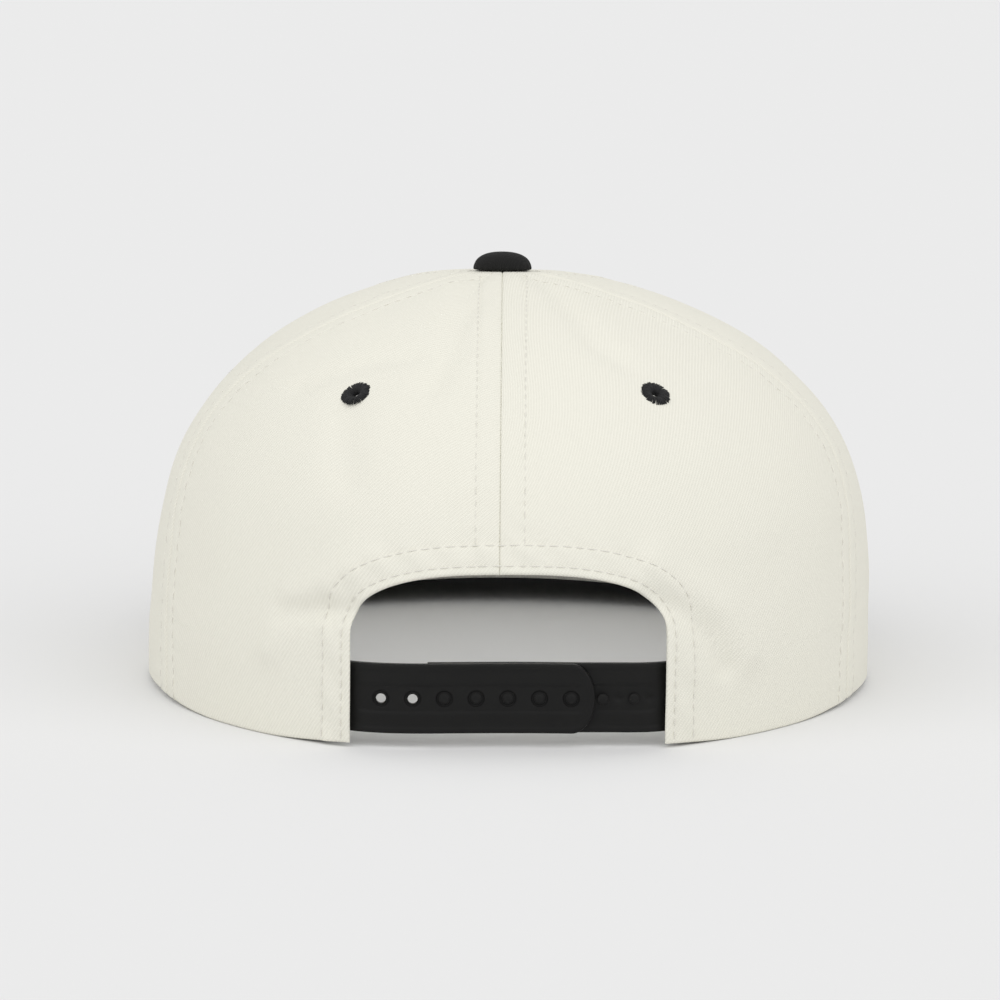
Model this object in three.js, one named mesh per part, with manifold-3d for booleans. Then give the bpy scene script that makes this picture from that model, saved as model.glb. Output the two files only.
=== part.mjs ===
// A snapback cap: six cloth panels, a stiff flat peak, a covered button, stitched eyelets,
// a sweatband, and a snap strap in two pieces across the arched opening at the back.
// Millimetres, +Z up. The peak points along +Y, so a view along +Y shows the back of the cap,
// with the wearer's right at +X. An azimuth is 0 at the back, 90 at +X and 180 at the front.
import * as THREE from "three";
import { mergeVertices } from "three/addons/utils/BufferGeometryUtils.js";
import Module from "manifold-3d";

const wasm = await Module();
wasm.setup();

// Crown, measured over the outside of the cloth
const rimHalfWidth = 91.5;
const rimBackReach = 100;
const rimFrontReach = 96;
const crownHeight = 103;
const wallHeight = 21; // the upright wall, below the dome
const wallTuck = 1.4; // the wall leans in by this much between the two heights that follow
const tuckFrom = 15;
const tuckTo = 45;
const clothWall = 1.8; // twill with its backing
const seamGap = 0.4; // between two panels
const layerGap = 0.3; // between two layers that lie on each other

// Crown, how round it is: 2 is an ellipse, and more is squarer
const planRoundnessBack = 1.93;
const planRoundnessFront = 2.2;
const domeRoundnessBack = 2.4;
const domeRoundnessSide = 2.8;
const domeRoundnessFront = 2.9;
const topRoundness = 1.81;

// Crown, where it is sewn a little off the middle
const seamShift = -2.1; // the centre seams and the button lie to the left
const sideLean = 1.15; // the dome leans to the right
const apexTilt = 0.08; // the top slopes down towards the front

// Seams between the panels, and the lower edge
const sideSeamAzimuth = 67; // at the rim
const frontSeamAzimuth = 130;
const sideSeamBow = 6; // how far the seam bows forward halfway up, in degrees
const frontSeamBow = 4;
const seamBowClimb = 0.45;
const seamBowSpan = 0.2;
const sideSeamReturn = 12; // how far it turns back between this climb and the button
const seamReturnFrom = 0.5;
const backRimLift = 1.2; // the edge beside the opening stands clear of the floor
const sideRimLift = 1.4;
const restAzimuth = 45; // where the edge meets the floor
const restSpan = 10;

// Arched opening at the back
const archHalfWidth = 37.2;
const archStraightHeight = 27;
const archHeight = 42.4;
const archRoundness = 2.45;

// Peak
const peakHalfWidth = 92;
const peakLength = 69; // from the crown's front to the peak's front edge
const peakThickness = 2.8;
const peakCamber = 7; // how far the middle stands above the sides
const peakRoundness = 2.3;
const peakWidestBehindFront = 8; // where the peak is widest, behind the crown's front
const peakOvalShare = 0.8; // the share of the peak's width that the half oval takes
const peakRootAzimuth = 118;
const peakRootSpan = 12; // the rim climbs onto the peak over this angle
const peakRootMargin = 6; // and it is up by this much before the peak's tip
const peakTipOverhang = 1.5; // how far the tips reach past the rim

// Button on the apex
const buttonRadius = 7.25;
const buttonHeight = 4.3;
const buttonRoundness = 2.6;
const buttonStemRadius = 2.2;

// Eyelets, one in each panel
const eyeletRadius = 3.6;
const eyeletBore = 1.1;
const eyeletStemRadius = 2;
const eyeletRise = 0.6;
const eyeletClimbs = { back: 0.567, side: 0.48, front: 0.567 };
const eyeletAzimuths = { back: 34, side: 105, front: 156 };

// Sweatband
const bandHeight = 32;
const bandThickness = 1.2;
const bandClothGap = 0.6;
const bandEndGap = 1; // from the opening's edge
const bandRampSpan = 6; // azimuth over which the band comes down off the strap's end
const bandHangSpan = 4; // azimuth over which it comes down over the peak's inner edge

// Snap strap
const strapHeight = 16.6;
const strapThickness = 1.3;
const strapCentreHeight = 11.8;
const strapHem = 9; // length sewn in behind the cloth
const strapFlattening = 7; // how much flatter than the wall the strap lies in the opening
const strapClothGap = 0.6;
const snapPitch = 7.45;
const snapCount = 7;
const snapHoleRadius = 1.3;
const firstHoleX = -29.8;
const firstPegX = -14.9;
const pegStemRadius = 0.95;
const pegHeadRadius = 1.45;
const pegHeadHeight = 0.7;
const strapTipLength = 5.6; // from the last hole to the end of the outer strap
const strapTipRadius = 5.5; // how long its rounded corners are
const innerEndLength = 4; // from the first peg to the end of the inner strap

// Facets
const panelColumns = { back: 12, side: 9, front: 10 };
const panelWallRows = 2;
const panelDomeRows = 13;
const roundSides = 16;
const pegSides = 10;

const radians = THREE.MathUtils.degToRad;
const { lerp, smoothstep } = THREE.MathUtils;
const wallShare = 0.2; // the share of a climb that the upright wall takes

// A power that keeps the sign of its base
function signedPower(base, power) {
  return Math.sign(base) * Math.abs(base) ** power;
}

function absoluteAzimuth(azimuth) {
  const turned = ((azimuth % 360) + 360) % 360;
  return turned > 180 ? 360 - turned : turned;
}

// A value that runs from the back through the side to the front
function aroundCrown(azimuth, back, side, front) {
  const facing = Math.cos(radians(azimuth));
  return lerp(side, facing > 0 ? back : front, facing ** 2);
}

// The rim seen from above
function planPoint(azimuth) {
  const sine = Math.sin(radians(azimuth));
  const cosine = Math.cos(radians(azimuth));
  const atBack = cosine > 0;
  const power = 2 / (atBack ? planRoundnessBack : planRoundnessFront);
  const reach = atBack ? rimBackReach : rimFrontReach;
  return new THREE.Vector2(
    rimHalfWidth * signedPower(sine, power),
    -reach * signedPower(cosine, power),
  );
}

// The peak's underside and top are arched across their width
function peakUnderside(x) {
  return peakCamber * (1 - (x / peakHalfWidth) ** 2);
}

function peakTop(x) {
  return peakUnderside(x) + peakThickness;
}

// The height of the crown's lower edge
function rimHeight(azimuth) {
  const away = absoluteAzimuth(azimuth);
  const restFrom = restAzimuth - restSpan / 2;
  const restTo = restAzimuth + restSpan / 2;
  const climbEnd = peakRootAzimuth - peakRootMargin;
  const sideEnd = climbEnd - peakRootSpan;
  const back = backRimLift * (1 - smoothstep(away, restFrom / 2, restFrom));
  const alongSide = THREE.MathUtils.clamp((away - restTo) / (sideEnd - restTo), 0, 1);
  const side = sideRimLift * Math.sin(Math.PI * alongSide) ** 2;
  const onPeak = smoothstep(away, sideEnd, climbEnd);
  const front = onPeak * (peakTop(planPoint(azimuth).x) + layerGap);
  return back + side + front;
}

// A point on the outside of the crown: climb runs from 0 at the rim to 1 at the apex
function crownPoint(azimuth, climb) {
  const plan = planPoint(azimuth);
  const roundness = aroundCrown(
    azimuth,
    domeRoundnessBack,
    domeRoundnessSide,
    domeRoundnessFront,
  );
  let share = 1;
  let height = lerp(rimHeight(azimuth), wallHeight, climb / wallShare);
  if (climb > wallShare) {
    const turn = (((climb - wallShare) / (1 - wallShare)) * Math.PI) / 2;
    share = Math.max(Math.cos(turn), 0) ** (2 / topRoundness);
    height = lerp(wallHeight, crownHeight, Math.sin(turn) ** (2 / roundness));
  }
  const tuck = 1 - (wallTuck / rimHalfWidth) * smoothstep(height, tuckFrom, tuckTo);
  const nearApex = Math.exp(-((share / 0.2) ** 2));
  const facing = Math.cos(radians(azimuth)) ** 2;
  const rise = THREE.MathUtils.clamp(
    (height - tuckFrom) / (crownHeight - tuckFrom),
    0,
    1,
  );
  const lean = sideLean * (1 - facing) * Math.sin(Math.PI * rise) * (1 - nearApex);
  const shift = seamShift * (facing + (1 - facing) * nearApex);
  const tilt = apexTilt * plan.y * share * nearApex;
  return new THREE.Vector3(
    plan.x * share * tuck + shift + lean,
    plan.y * share * tuck,
    height - tilt,
  );
}

function crownNormal(azimuth, climb) {
  const turn = 0.5;
  const step = 0.004;
  const along = crownPoint(azimuth + turn, climb).sub(crownPoint(azimuth - turn, climb));
  const low = Math.max(climb - step, 0);
  const up = crownPoint(azimuth, low + 2 * step).sub(crownPoint(azimuth, low));
  const normal = along.cross(up).normalize();
  if (climb < wallShare / 2) normal.setZ(0).normalize();
  return normal;
}

// A point below the outside of the crown, measured square to it
function insidePoint(azimuth, climb, depth) {
  return crownPoint(azimuth, climb).addScaledVector(crownNormal(azimuth, climb), -depth);
}

// The climb at which the crown reaches a height
function climbAt(azimuth, height) {
  let low = 0;
  let high = 1;
  for (let step = 0; step < 24; step++) {
    const middle = (low + high) / 2;
    if (crownPoint(azimuth, middle).z < height) low = middle;
    else high = middle;
  }
  return low;
}

// The climb at which the dome has drawn in to a radius round the apex
function climbToRadius(radius) {
  const turn = Math.acos((radius / rimHalfWidth) ** (topRoundness / 2));
  return wallShare + (1 - wallShare) * (turn / (Math.PI / 2));
}

function solidFrom(geometry) {
  const bare = geometry.clone();
  bare.deleteAttribute("normal");
  bare.deleteAttribute("uv");
  const merged = mergeVertices(bare, 1e-4);
  return new wasm.Manifold(
    new wasm.Mesh({
      numProp: 3,
      vertProperties: merged.attributes.position.array,
      triVerts: new Uint32Array(merged.index.array),
    }),
  );
}

function geometryFrom(solid) {
  const mesh = solid.getMesh();
  return new THREE.BufferGeometry()
    .setAttribute("position", new THREE.BufferAttribute(mesh.vertProperties, 3))
    .setIndex(new THREE.BufferAttribute(mesh.triVerts, 1));
}

// A closed sheet between two surfaces, each a function of two shares from 0 to 1
function sheetGeometry(columns, rows, outerAt, innerAt) {
  const corners = [];
  for (const pointAt of [outerAt, innerAt])
    for (let row = 0; row <= rows; row++)
      for (let column = 0; column <= columns; column++)
        corners.push(pointAt(column / columns, row / rows));
  const width = columns + 1;
  const layer = width * (rows + 1);
  const faces = [];
  const quad = (a, b, c, d) => faces.push(a, b, c, a, c, d);
  for (let row = 0; row < rows; row++)
    for (let column = 0; column < columns; column++) {
      const at = row * width + column;
      quad(at, at + 1, at + width + 1, at + width);
      quad(layer + at, layer + at + width, layer + at + width + 1, layer + at + 1);
    }
  for (let column = 0; column < columns; column++) {
    const high = rows * width + column;
    quad(layer + column, layer + column + 1, column + 1, column);
    quad(high, high + 1, layer + high + 1, layer + high);
  }
  for (let row = 0; row < rows; row++) {
    const left = row * width;
    const right = left + columns;
    quad(left, left + width, layer + left + width, layer + left);
    quad(layer + right, layer + right + width, right + width, right);
  }
  return new THREE.BufferGeometry().setFromPoints(corners).setIndex(faces);
}

// A flat outline in X and Z, drawn out along Y from -reach to reach
function extrudedAlongY(outline, reach) {
  return new THREE.ExtrudeGeometry(outline, { depth: 2 * reach, bevelEnabled: false })
    .translate(0, 0, -reach)
    .rotateX(Math.PI / 2);
}

// Turns a piece that was made along +Y so that it stands on a point along a direction
function standOn(object, point, direction) {
  object.position.copy(point);
  object.quaternion.setFromUnitVectors(new THREE.Vector3(0, 1, 0), direction);
  object.updateMatrix();
  return object;
}

const twill = new THREE.MeshStandardMaterial({ color: 0xebe8dc, roughness: 0.9 });
const blackTwill = new THREE.MeshStandardMaterial({ color: 0x1d1d1c, roughness: 0.85 });
const blackThread = new THREE.MeshStandardMaterial({ color: 0x171717, roughness: 0.7 });
const bandCloth = new THREE.MeshStandardMaterial({ color: 0xdedbd0, roughness: 0.95 });
const strapPlastic = new THREE.MeshStandardMaterial({ color: 0x242424, roughness: 0.5 });

const cap = new THREE.Group();

function addPiece(name, geometry, material) {
  const mesh = new THREE.Mesh(geometry, material);
  mesh.name = name;
  cap.add(mesh);
  return mesh;
}

const sides = { left: -1, right: 1 };
const seams = {
  back: [0, sideSeamAzimuth],
  side: [sideSeamAzimuth, frontSeamAzimuth],
  front: [frontSeamAzimuth, 180],
};

// The azimuth of a seam at a climb: the seams of the side panels aren't straight
function seamAzimuth(seam, climb) {
  const away = Math.abs(seam);
  if (away !== sideSeamAzimuth && away !== frontSeamAzimuth) return seam;
  const bow = away === sideSeamAzimuth ? sideSeamBow : frontSeamBow;
  const back = away === sideSeamAzimuth ? sideSeamReturn : 0;
  const forward = bow * Math.exp(-(((climb - seamBowClimb) / seamBowSpan) ** 2));
  const returned = back * smoothstep(climb, seamReturnFrom, 1);
  return seam + Math.sign(seam) * (forward - returned);
}

// A panel's two edges keep half the seam gap clear at every height, so they part near the apex
function panelPoint(span, across, climb, depth) {
  const [from, to] = span.map((seam) => seamAzimuth(seam, climb));
  const middle = crownPoint((from + to) / 2, climb);
  const apex = crownPoint((from + to) / 2, 1);
  const radius = Math.hypot(middle.x - apex.x, middle.y - apex.y);
  const clear = THREE.MathUtils.radToDeg(seamGap / 2 / radius);
  return insidePoint(lerp(from + clear, to - clear, across), climb, depth);
}

function panelClimb(rise) {
  const rows = panelWallRows + panelDomeRows;
  const row = rise * rows;
  if (row <= panelWallRows) return (wallShare * row) / panelWallRows;
  const share = (row - panelWallRows) / panelDomeRows;
  return lerp(wallShare, climbToRadius(buttonStemRadius + seamGap), share);
}

const archOutline = new THREE.Shape();
archOutline.moveTo(-archHalfWidth, -rimHalfWidth);
for (let step = 0; step <= 2 * roundSides; step++) {
  const turn = Math.PI * (1 - step / (2 * roundSides));
  archOutline.lineTo(
    archHalfWidth * signedPower(Math.cos(turn), 2 / archRoundness),
    lerp(archStraightHeight, archHeight, Math.sin(turn) ** (2 / archRoundness)),
  );
}
archOutline.lineTo(archHalfWidth, -rimHalfWidth);
const archCutter = solidFrom(extrudedAlongY(archOutline, 2 * rimBackReach));

// Eyelet: an embroidered ring over the edge of a small hole, made here as a flanged tube
const eyeletProfile = [
  [eyeletBore, -clothWall],
  [eyeletStemRadius, -clothWall],
  [eyeletStemRadius, layerGap],
  [eyeletRadius, layerGap],
  [eyeletRadius - eyeletRise / 2, eyeletRise + layerGap / 2],
  [eyeletBore, eyeletRise],
  [eyeletBore, -clothWall],
].map(([radius, height]) => new THREE.Vector2(radius, height));

const eyeletHole = new THREE.CylinderGeometry(
  eyeletStemRadius + layerGap,
  eyeletStemRadius + layerGap,
  6 * clothWall,
  roundSides,
);

for (const [place, [near, far]] of Object.entries(seams))
  for (const [side, sign] of Object.entries(sides)) {
    const span = sign > 0 ? [near, far] : [-far, -near];
    let panel = solidFrom(
      sheetGeometry(
        panelColumns[place],
        panelWallRows + panelDomeRows,
        (across, rise) => panelPoint(span, across, panelClimb(rise), 0),
        (across, rise) => panelPoint(span, across, panelClimb(rise), clothWall),
      ),
    );
    if (place === "back") panel = panel.subtract(archCutter);
    const azimuth = sign * eyeletAzimuths[place];
    const centre = crownPoint(azimuth, eyeletClimbs[place]);
    const normal = crownNormal(azimuth, eyeletClimbs[place]);
    const hole = standOn(new THREE.Object3D(), centre, normal);
    panel = panel.subtract(solidFrom(eyeletHole.clone().applyMatrix4(hole.matrix)));
    addPiece(`${place}_panel_${side}`, geometryFrom(panel), twill);
    const eyelet = new THREE.LatheGeometry(eyeletProfile, roundSides);
    standOn(addPiece(`eyelet_${place}_${side}`, eyelet, blackThread), centre, normal);
  }

// Button: a covered dome on a stem through the hole where the panels meet
const buttonProfile = [
  new THREE.Vector2(0, -clothWall - layerGap),
  new THREE.Vector2(buttonStemRadius, -clothWall - layerGap),
  new THREE.Vector2(buttonStemRadius, 0),
];
for (let step = 0; step <= 6; step++) {
  const turn = (Math.PI / 2) * (step / 6);
  const radius = buttonRadius * Math.max(Math.cos(turn), 0) ** (2 / buttonRoundness);
  const height = buttonHeight * Math.sin(turn) ** (2 / buttonRoundness);
  buttonProfile.push(new THREE.Vector2(step === 6 ? 0 : radius, height));
}
const button = new THREE.LatheGeometry(buttonProfile, 2 * roundSides);
const buttonSeat = crownPoint(0, 1).add(new THREE.Vector3(0, 0, layerGap));
const buttonAxis = new THREE.Vector3(0, apexTilt, 1).normalize();
standOn(addPiece("button", button, blackTwill), buttonSeat, buttonAxis);

// Peak: its inner edge lies under the front of the rim. Its outer edge is half an oval, whose
// ends run back to the two tips. Across runs from the left tip to the right one.
function peakOuterPoint(across) {
  const root = planPoint(peakRootAzimuth);
  const tip = new THREE.Vector2(root.x + peakTipOverhang, root.y - peakTipOverhang);
  const widestY = rimFrontReach - peakWidestBehindFront;
  const turn = lerp(-1, 1, across);
  const away = Math.abs(turn);
  if (away > peakOvalShare) {
    const backward = (away - peakOvalShare) / (1 - peakOvalShare);
    const x = lerp(peakHalfWidth, tip.x, backward ** 2);
    return new THREE.Vector2(Math.sign(turn) * x, lerp(widestY, tip.y, backward));
  }
  const bearing = (Math.PI / 2) * (turn / peakOvalShare);
  const reach = rimFrontReach + peakLength - widestY;
  return new THREE.Vector2(
    peakHalfWidth * signedPower(Math.sin(bearing), 2 / peakRoundness),
    widestY + reach * signedPower(Math.cos(bearing), 2 / peakRoundness),
  );
}

function peakPoint(across, outward, heightAt) {
  const azimuth = lerp(360 - peakRootAzimuth, peakRootAzimuth, across);
  const inner = insidePoint(azimuth, 0, clothWall);
  const outer = peakOuterPoint(across);
  const x = lerp(inner.x, outer.x, outward);
  return new THREE.Vector3(x, lerp(inner.y, outer.y, outward), heightAt(x));
}

addPiece(
  "peak",
  sheetGeometry(
    36,
    8,
    (across, outward) => peakPoint(across, outward, peakTop),
    (across, outward) => peakPoint(across, outward, peakUnderside),
  ),
  blackTwill,
);

// Snap strap: a ribbon that stands behind the cloth and follows the wall, a little flatter
function strapPoint(x, z, depth) {
  const along = x - seamShift * (1 - (x / rimHalfWidth) ** 2);
  const tuck = wallTuck * smoothstep(z, tuckFrom, tuckTo);
  const halfWidth = rimHalfWidth - tuck - depth;
  const reach = rimBackReach - tuck - depth;
  const round = planRoundnessBack;
  const wall = -reach * (1 - Math.abs(along / halfWidth) ** round) ** (1 / round);
  const inOpening = Math.max(1 - (x / archHalfWidth) ** 2, 0) ** 2;
  return new THREE.Vector3(x, wall + strapFlattening * inOpening, z);
}

const strapDepth = clothWall + strapClothGap;
const innerStrapDepth = strapDepth + strapThickness + layerGap;
const lastHoleX = firstHoleX + (snapCount - 1) * snapPitch;
const strapTipX = lastHoleX + strapTipLength;
const strapLow = strapCentreHeight - strapHeight / 2;
const strapHigh = strapCentreHeight + strapHeight / 2;

// The inner strap comes forward against the cloth past the outer strap's tip
function innerDepth(x) {
  const past = smoothstep(x, strapTipX + strapThickness, archHalfWidth);
  return lerp(innerStrapDepth, strapDepth, past);
}

function strapSolid(fromX, toX, columns, depthAt) {
  const pointAt = (extra) => (across, rise) => {
    const x = lerp(fromX, toX, across);
    return strapPoint(x, lerp(strapLow, strapHigh, rise), depthAt(x) + extra);
  };
  return solidFrom(sheetGeometry(columns, 2, pointAt(0), pointAt(strapThickness)));
}

// A round bar square to the outer strap, between two distances outside its outer face
function snapBar(x, radius, from, to) {
  const seat = strapPoint(x, strapCentreHeight, strapDepth);
  const along = strapPoint(x + 1, strapCentreHeight, strapDepth)
    .sub(strapPoint(x - 1, strapCentreHeight, strapDepth))
    .normalize();
  const outward = new THREE.Vector3(along.y, -along.x, 0);
  const bar = new THREE.CylinderGeometry(radius, radius, to - from, pegSides);
  const centre = seat.addScaledVector(outward, (from + to) / 2);
  const placed = standOn(new THREE.Object3D(), centre, outward);
  return solidFrom(bar.applyMatrix4(placed.matrix));
}

const tipOutline = new THREE.Shape();
tipOutline.moveTo(-rimHalfWidth, strapLow - strapHeight);
tipOutline.lineTo(-rimHalfWidth, strapHigh + strapHeight);
tipOutline.lineTo(strapTipX - strapTipRadius, strapHigh + strapHeight);
for (let step = 0; step <= 10; step++) {
  const turn = Math.PI * (0.5 - step / 10);
  tipOutline.lineTo(
    strapTipX - strapTipRadius * (1 - Math.cos(turn)),
    strapCentreHeight + (strapHeight / 2) * Math.sin(turn),
  );
}
tipOutline.lineTo(strapTipX - strapTipRadius, strapLow - strapHeight);

let outerStrap = strapSolid(-archHalfWidth - strapHem, strapTipX, 22, () => strapDepth);
outerStrap = outerStrap.intersect(
  solidFrom(extrudedAlongY(tipOutline, 2 * rimBackReach)),
);
const innerFromX = firstPegX - innerEndLength;
let innerStrap = strapSolid(innerFromX, archHalfWidth + strapHem, 22, innerDepth);
for (let snap = 0; snap < snapCount; snap++) {
  const holeX = firstHoleX + snap * snapPitch;
  const pegX = firstPegX + snap * snapPitch;
  const bore = snapBar(holeX, snapHoleRadius, -2 * strapThickness, 2 * strapThickness);
  outerStrap = outerStrap.subtract(bore);
  const root = strapDepth - innerDepth(pegX) - strapThickness / 2;
  const headFrom = layerGap / 2;
  innerStrap = innerStrap
    .add(snapBar(pegX, pegStemRadius, root, headFrom + pegHeadHeight / 2))
    .add(snapBar(pegX, pegHeadRadius, headFrom, headFrom + pegHeadHeight));
}
addPiece("snap_strap_outer", geometryFrom(outerStrap), strapPlastic);
addPiece("snap_strap_inner", geometryFrom(innerStrap), strapPlastic);

// Sweatband: it lies inside the rim, over the sewn ends of the strap, and stops at the opening
function azimuthAtX(x) {
  let low = 0;
  let high = 90;
  for (let step = 0; step < 24; step++) {
    const middle = (low + high) / 2;
    if (crownPoint(middle, 0).x < x) low = middle;
    else high = middle;
  }
  return low;
}

const bandStart = azimuthAtX(archHalfWidth + bandEndGap - seamShift);
const strapEnd = azimuthAtX(archHalfWidth + strapHem + layerGap - seamShift);

function bandDepth(azimuth) {
  const away = absoluteAzimuth(azimuth);
  const onStrap = strapDepth + strapThickness + layerGap;
  const onCloth = clothWall + bandClothGap;
  return lerp(onStrap, onCloth, smoothstep(away, strapEnd + 1, strapEnd + 1 + bandRampSpan));
}

// In front the band hangs lower than the rim, over the peak's inner edge
function bandLowerEdge(azimuth) {
  const rim = insidePoint(azimuth, 0, clothWall);
  const away = absoluteAzimuth(azimuth);
  const onPeak = smoothstep(away, peakRootAzimuth, peakRootAzimuth + bandHangSpan);
  return lerp(rim.z, peakUnderside(rim.x), onPeak) + layerGap;
}

function bandPoint(across, rise, extra) {
  const azimuth = lerp(bandStart, 360 - bandStart, across);
  const low = bandLowerEdge(azimuth);
  const height = lerp(low, rimHeight(azimuth) + bandHeight, rise);
  const point = insidePoint(azimuth, climbAt(azimuth, height), bandDepth(azimuth) + extra);
  return rise === 0 ? point.setZ(low) : point;
}

addPiece(
  "sweatband",
  sheetGeometry(
    72,
    3,
    (across, rise) => bandPoint(across, rise, 0),
    (across, rise) => bandPoint(across, rise, bandThickness),
  ),
  bandCloth,
);

// The origin is under the middle of the whole cap, on the surface it rests on
const bounds = new THREE.Box3().setFromObject(cap, true);
const centre = bounds.getCenter(new THREE.Vector3());
cap.position.set(-centre.x, -centre.y, -bounds.min.z);
const part = new THREE.Group();
part.add(cap);

export default part;
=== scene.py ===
# A snapback cap: six cloth panels, a flat peak, a covered button, embroidered eyelets, a sweatband
# and a snap strap across the arched opening. Metres, +Z up. The peak points along +Y, so a view
# along +Y shows the back. An azimuth is 0 at the back, 90 at the wearer's right, 180 at the front.
import math

import bmesh
import bpy
import numpy as np
from mathutils import Matrix, Vector, noise


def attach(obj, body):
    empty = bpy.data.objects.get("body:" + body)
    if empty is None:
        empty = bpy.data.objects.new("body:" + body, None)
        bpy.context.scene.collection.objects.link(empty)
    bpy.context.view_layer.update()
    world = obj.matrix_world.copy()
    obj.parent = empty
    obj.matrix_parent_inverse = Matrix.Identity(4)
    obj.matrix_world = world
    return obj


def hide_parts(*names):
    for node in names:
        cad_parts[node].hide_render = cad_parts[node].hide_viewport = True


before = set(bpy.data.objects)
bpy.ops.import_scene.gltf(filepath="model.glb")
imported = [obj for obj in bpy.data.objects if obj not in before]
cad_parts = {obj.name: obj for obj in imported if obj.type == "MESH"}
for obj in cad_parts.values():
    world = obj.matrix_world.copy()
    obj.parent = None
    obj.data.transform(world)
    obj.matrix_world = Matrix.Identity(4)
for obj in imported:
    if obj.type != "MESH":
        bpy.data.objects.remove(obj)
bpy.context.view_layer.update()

# Crown panels: six gores of off-white cotton twill over a thin backing, sewn together from the
# rim to the button. Each seam is pressed open and topstitched on both sides, and the cloth is
# turned in along the rim and round the arched opening at the back.
crown_axis_y = -0.03439
rim_half_width = 0.0915
rim_back_reach = 0.1
rim_front_reach = 0.096
crown_height = 0.103
wall_height = 0.021
wall_share = 0.2
wall_tuck = 0.0014
tuck_from = 0.015
tuck_to = 0.045
plan_roundness_back = 1.93
plan_roundness_front = 2.2
dome_roundness_back = 2.4
dome_roundness_side = 2.8
dome_roundness_front = 2.9
top_roundness = 1.81
seam_shift = -0.0021
side_lean = 0.00115
apex_tilt = 0.08
side_seam_azimuth = 67
front_seam_azimuth = 130
side_seam_bow = 6
front_seam_bow = 4
seam_bow_climb = 0.45
seam_bow_span = 0.2
side_seam_return = 12
seam_return_from = 0.5
back_rim_lift = 0.0012
side_rim_lift = 0.0014
rest_azimuth_from = 40
rest_azimuth_to = 50
root_azimuth_from = 100
root_azimuth_to = 112
peak_half_width = 0.092
peak_camber = 0.007
peak_thickness = 0.0028
layer_gap = 0.0003
cloth_wall = 0.0018
seam_gap = 0.00006
arch_half_width = 0.0372
arch_straight_height = 0.027
arch_height = 0.0424
arch_roundness = 2.45
panels_end = 0.0026

topstitch_away = 0.0053
opening_stitch_rows = (0.002, 0.0066)
edge_round = (0.0006, 0.0006)
seam_round = (0.0005, 0.0003)
side_seam_round = (0.0008, 0.0005)
seam_welt = 0.00018
opening_welt = 0.0003
stitch_sink = 0.00012
pucker_height = 0.00012
slack_height = 0.0008
cloth_folds = (
    (((-24, 0.245), (-28.8, 0.243), (-36, 0.232)), 0.003, -0.0015),
    (((-22, 0.31), (-28, 0.28), (-34, 0.245), (-38, 0.2)), 0.004, 0.001),
    (((23.5, 0.262), (28.5, 0.245), (33.5, 0.215), (36, 0.17)), 0.003, -0.0014),
    (((24.8, 0.305), (30.2, 0.268), (36, 0.235), (40, 0.19)), 0.0042, 0.001),
    (((-30, 0.91), (-16.5, 0.784), (-15.5, 0.677), (-16.2, 0.596)), 0.0038, -0.0011),
    (((39, 0.905), (29.2, 0.784), (27.2, 0.681), (31, 0.635)), 0.0038, -0.001),
    (((-49, 0.559), (-41.2, 0.601), (-34.2, 0.636), (-25.2, 0.657)), 0.0036, -0.0009),
    (((-34, 0.53), (-31, 0.47), (-28, 0.42)), 0.0052, -0.0009),
)


def lerp(start, end, share):
    return start + (end - start) * share


def smoothstep(value, low, high):
    share = np.clip((value - low) / (high - low), 0, 1)
    return share * share * (3 - 2 * share)


def signed_power(base, power):
    return np.sign(base) * np.abs(base) ** power


def plan_point(azimuth):
    """The rim seen from above, about the crown's own axis."""
    sine, cosine = np.sin(np.radians(azimuth)), np.cos(np.radians(azimuth))
    power = 2 / np.where(cosine > 0, plan_roundness_back, plan_roundness_front)
    reach = np.where(cosine > 0, rim_back_reach, rim_front_reach)
    return rim_half_width * signed_power(sine, power), -reach * signed_power(cosine, power)


def peak_underside(x):
    return peak_camber * (1 - (x / peak_half_width) ** 2)


def rim_height(azimuth):
    away = np.abs((np.asarray(azimuth, float) + 180) % 360 - 180)
    back = back_rim_lift * (1 - smoothstep(away, rest_azimuth_from / 2, rest_azimuth_from))
    along_side = np.clip((away - rest_azimuth_to) / (root_azimuth_from - rest_azimuth_to), 0, 1)
    side = side_rim_lift * np.sin(np.pi * along_side) ** 2
    on_peak = smoothstep(away, root_azimuth_from, root_azimuth_to)
    front = on_peak * (peak_underside(plan_point(azimuth)[0]) + peak_thickness + layer_gap)
    return back + side + front


def crown_point(azimuth, climb):
    """A point on the outside of the plain crown: climb runs from 0 at the rim to 1 at the apex."""
    azimuth, climb = np.broadcast_arrays(np.asarray(azimuth, float), np.asarray(climb, float))
    facing = np.cos(np.radians(azimuth))
    plan_x, plan_y = plan_point(azimuth)
    end_roundness = np.where(facing > 0, dome_roundness_back, dome_roundness_front)
    roundness = lerp(dome_roundness_side, end_roundness, facing**2)
    turn = np.clip((climb - wall_share) / (1 - wall_share), 0, 1) * np.pi / 2
    share = np.maximum(np.cos(turn), 0) ** (2 / top_roundness)
    on_wall = lerp(rim_height(azimuth), wall_height, np.clip(climb / wall_share, 0, 1))
    on_dome = lerp(wall_height, crown_height, np.sin(turn) ** (2 / roundness))
    height = np.where(climb > wall_share, on_dome, on_wall)
    tuck = 1 - (wall_tuck / rim_half_width) * smoothstep(height, tuck_from, tuck_to)
    near_apex = np.exp(-((share / 0.2) ** 2))
    rise = np.clip((height - tuck_from) / (crown_height - tuck_from), 0, 1)
    lean = side_lean * (1 - facing**2) * np.sin(np.pi * rise) * (1 - near_apex)
    shift = seam_shift * (facing**2 + (1 - facing**2) * near_apex)
    tilt = apex_tilt * plan_y * share * near_apex
    x = plan_x * share * tuck + shift + lean
    return np.stack([x, plan_y * share * tuck + crown_axis_y, height - tilt], -1)


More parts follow.
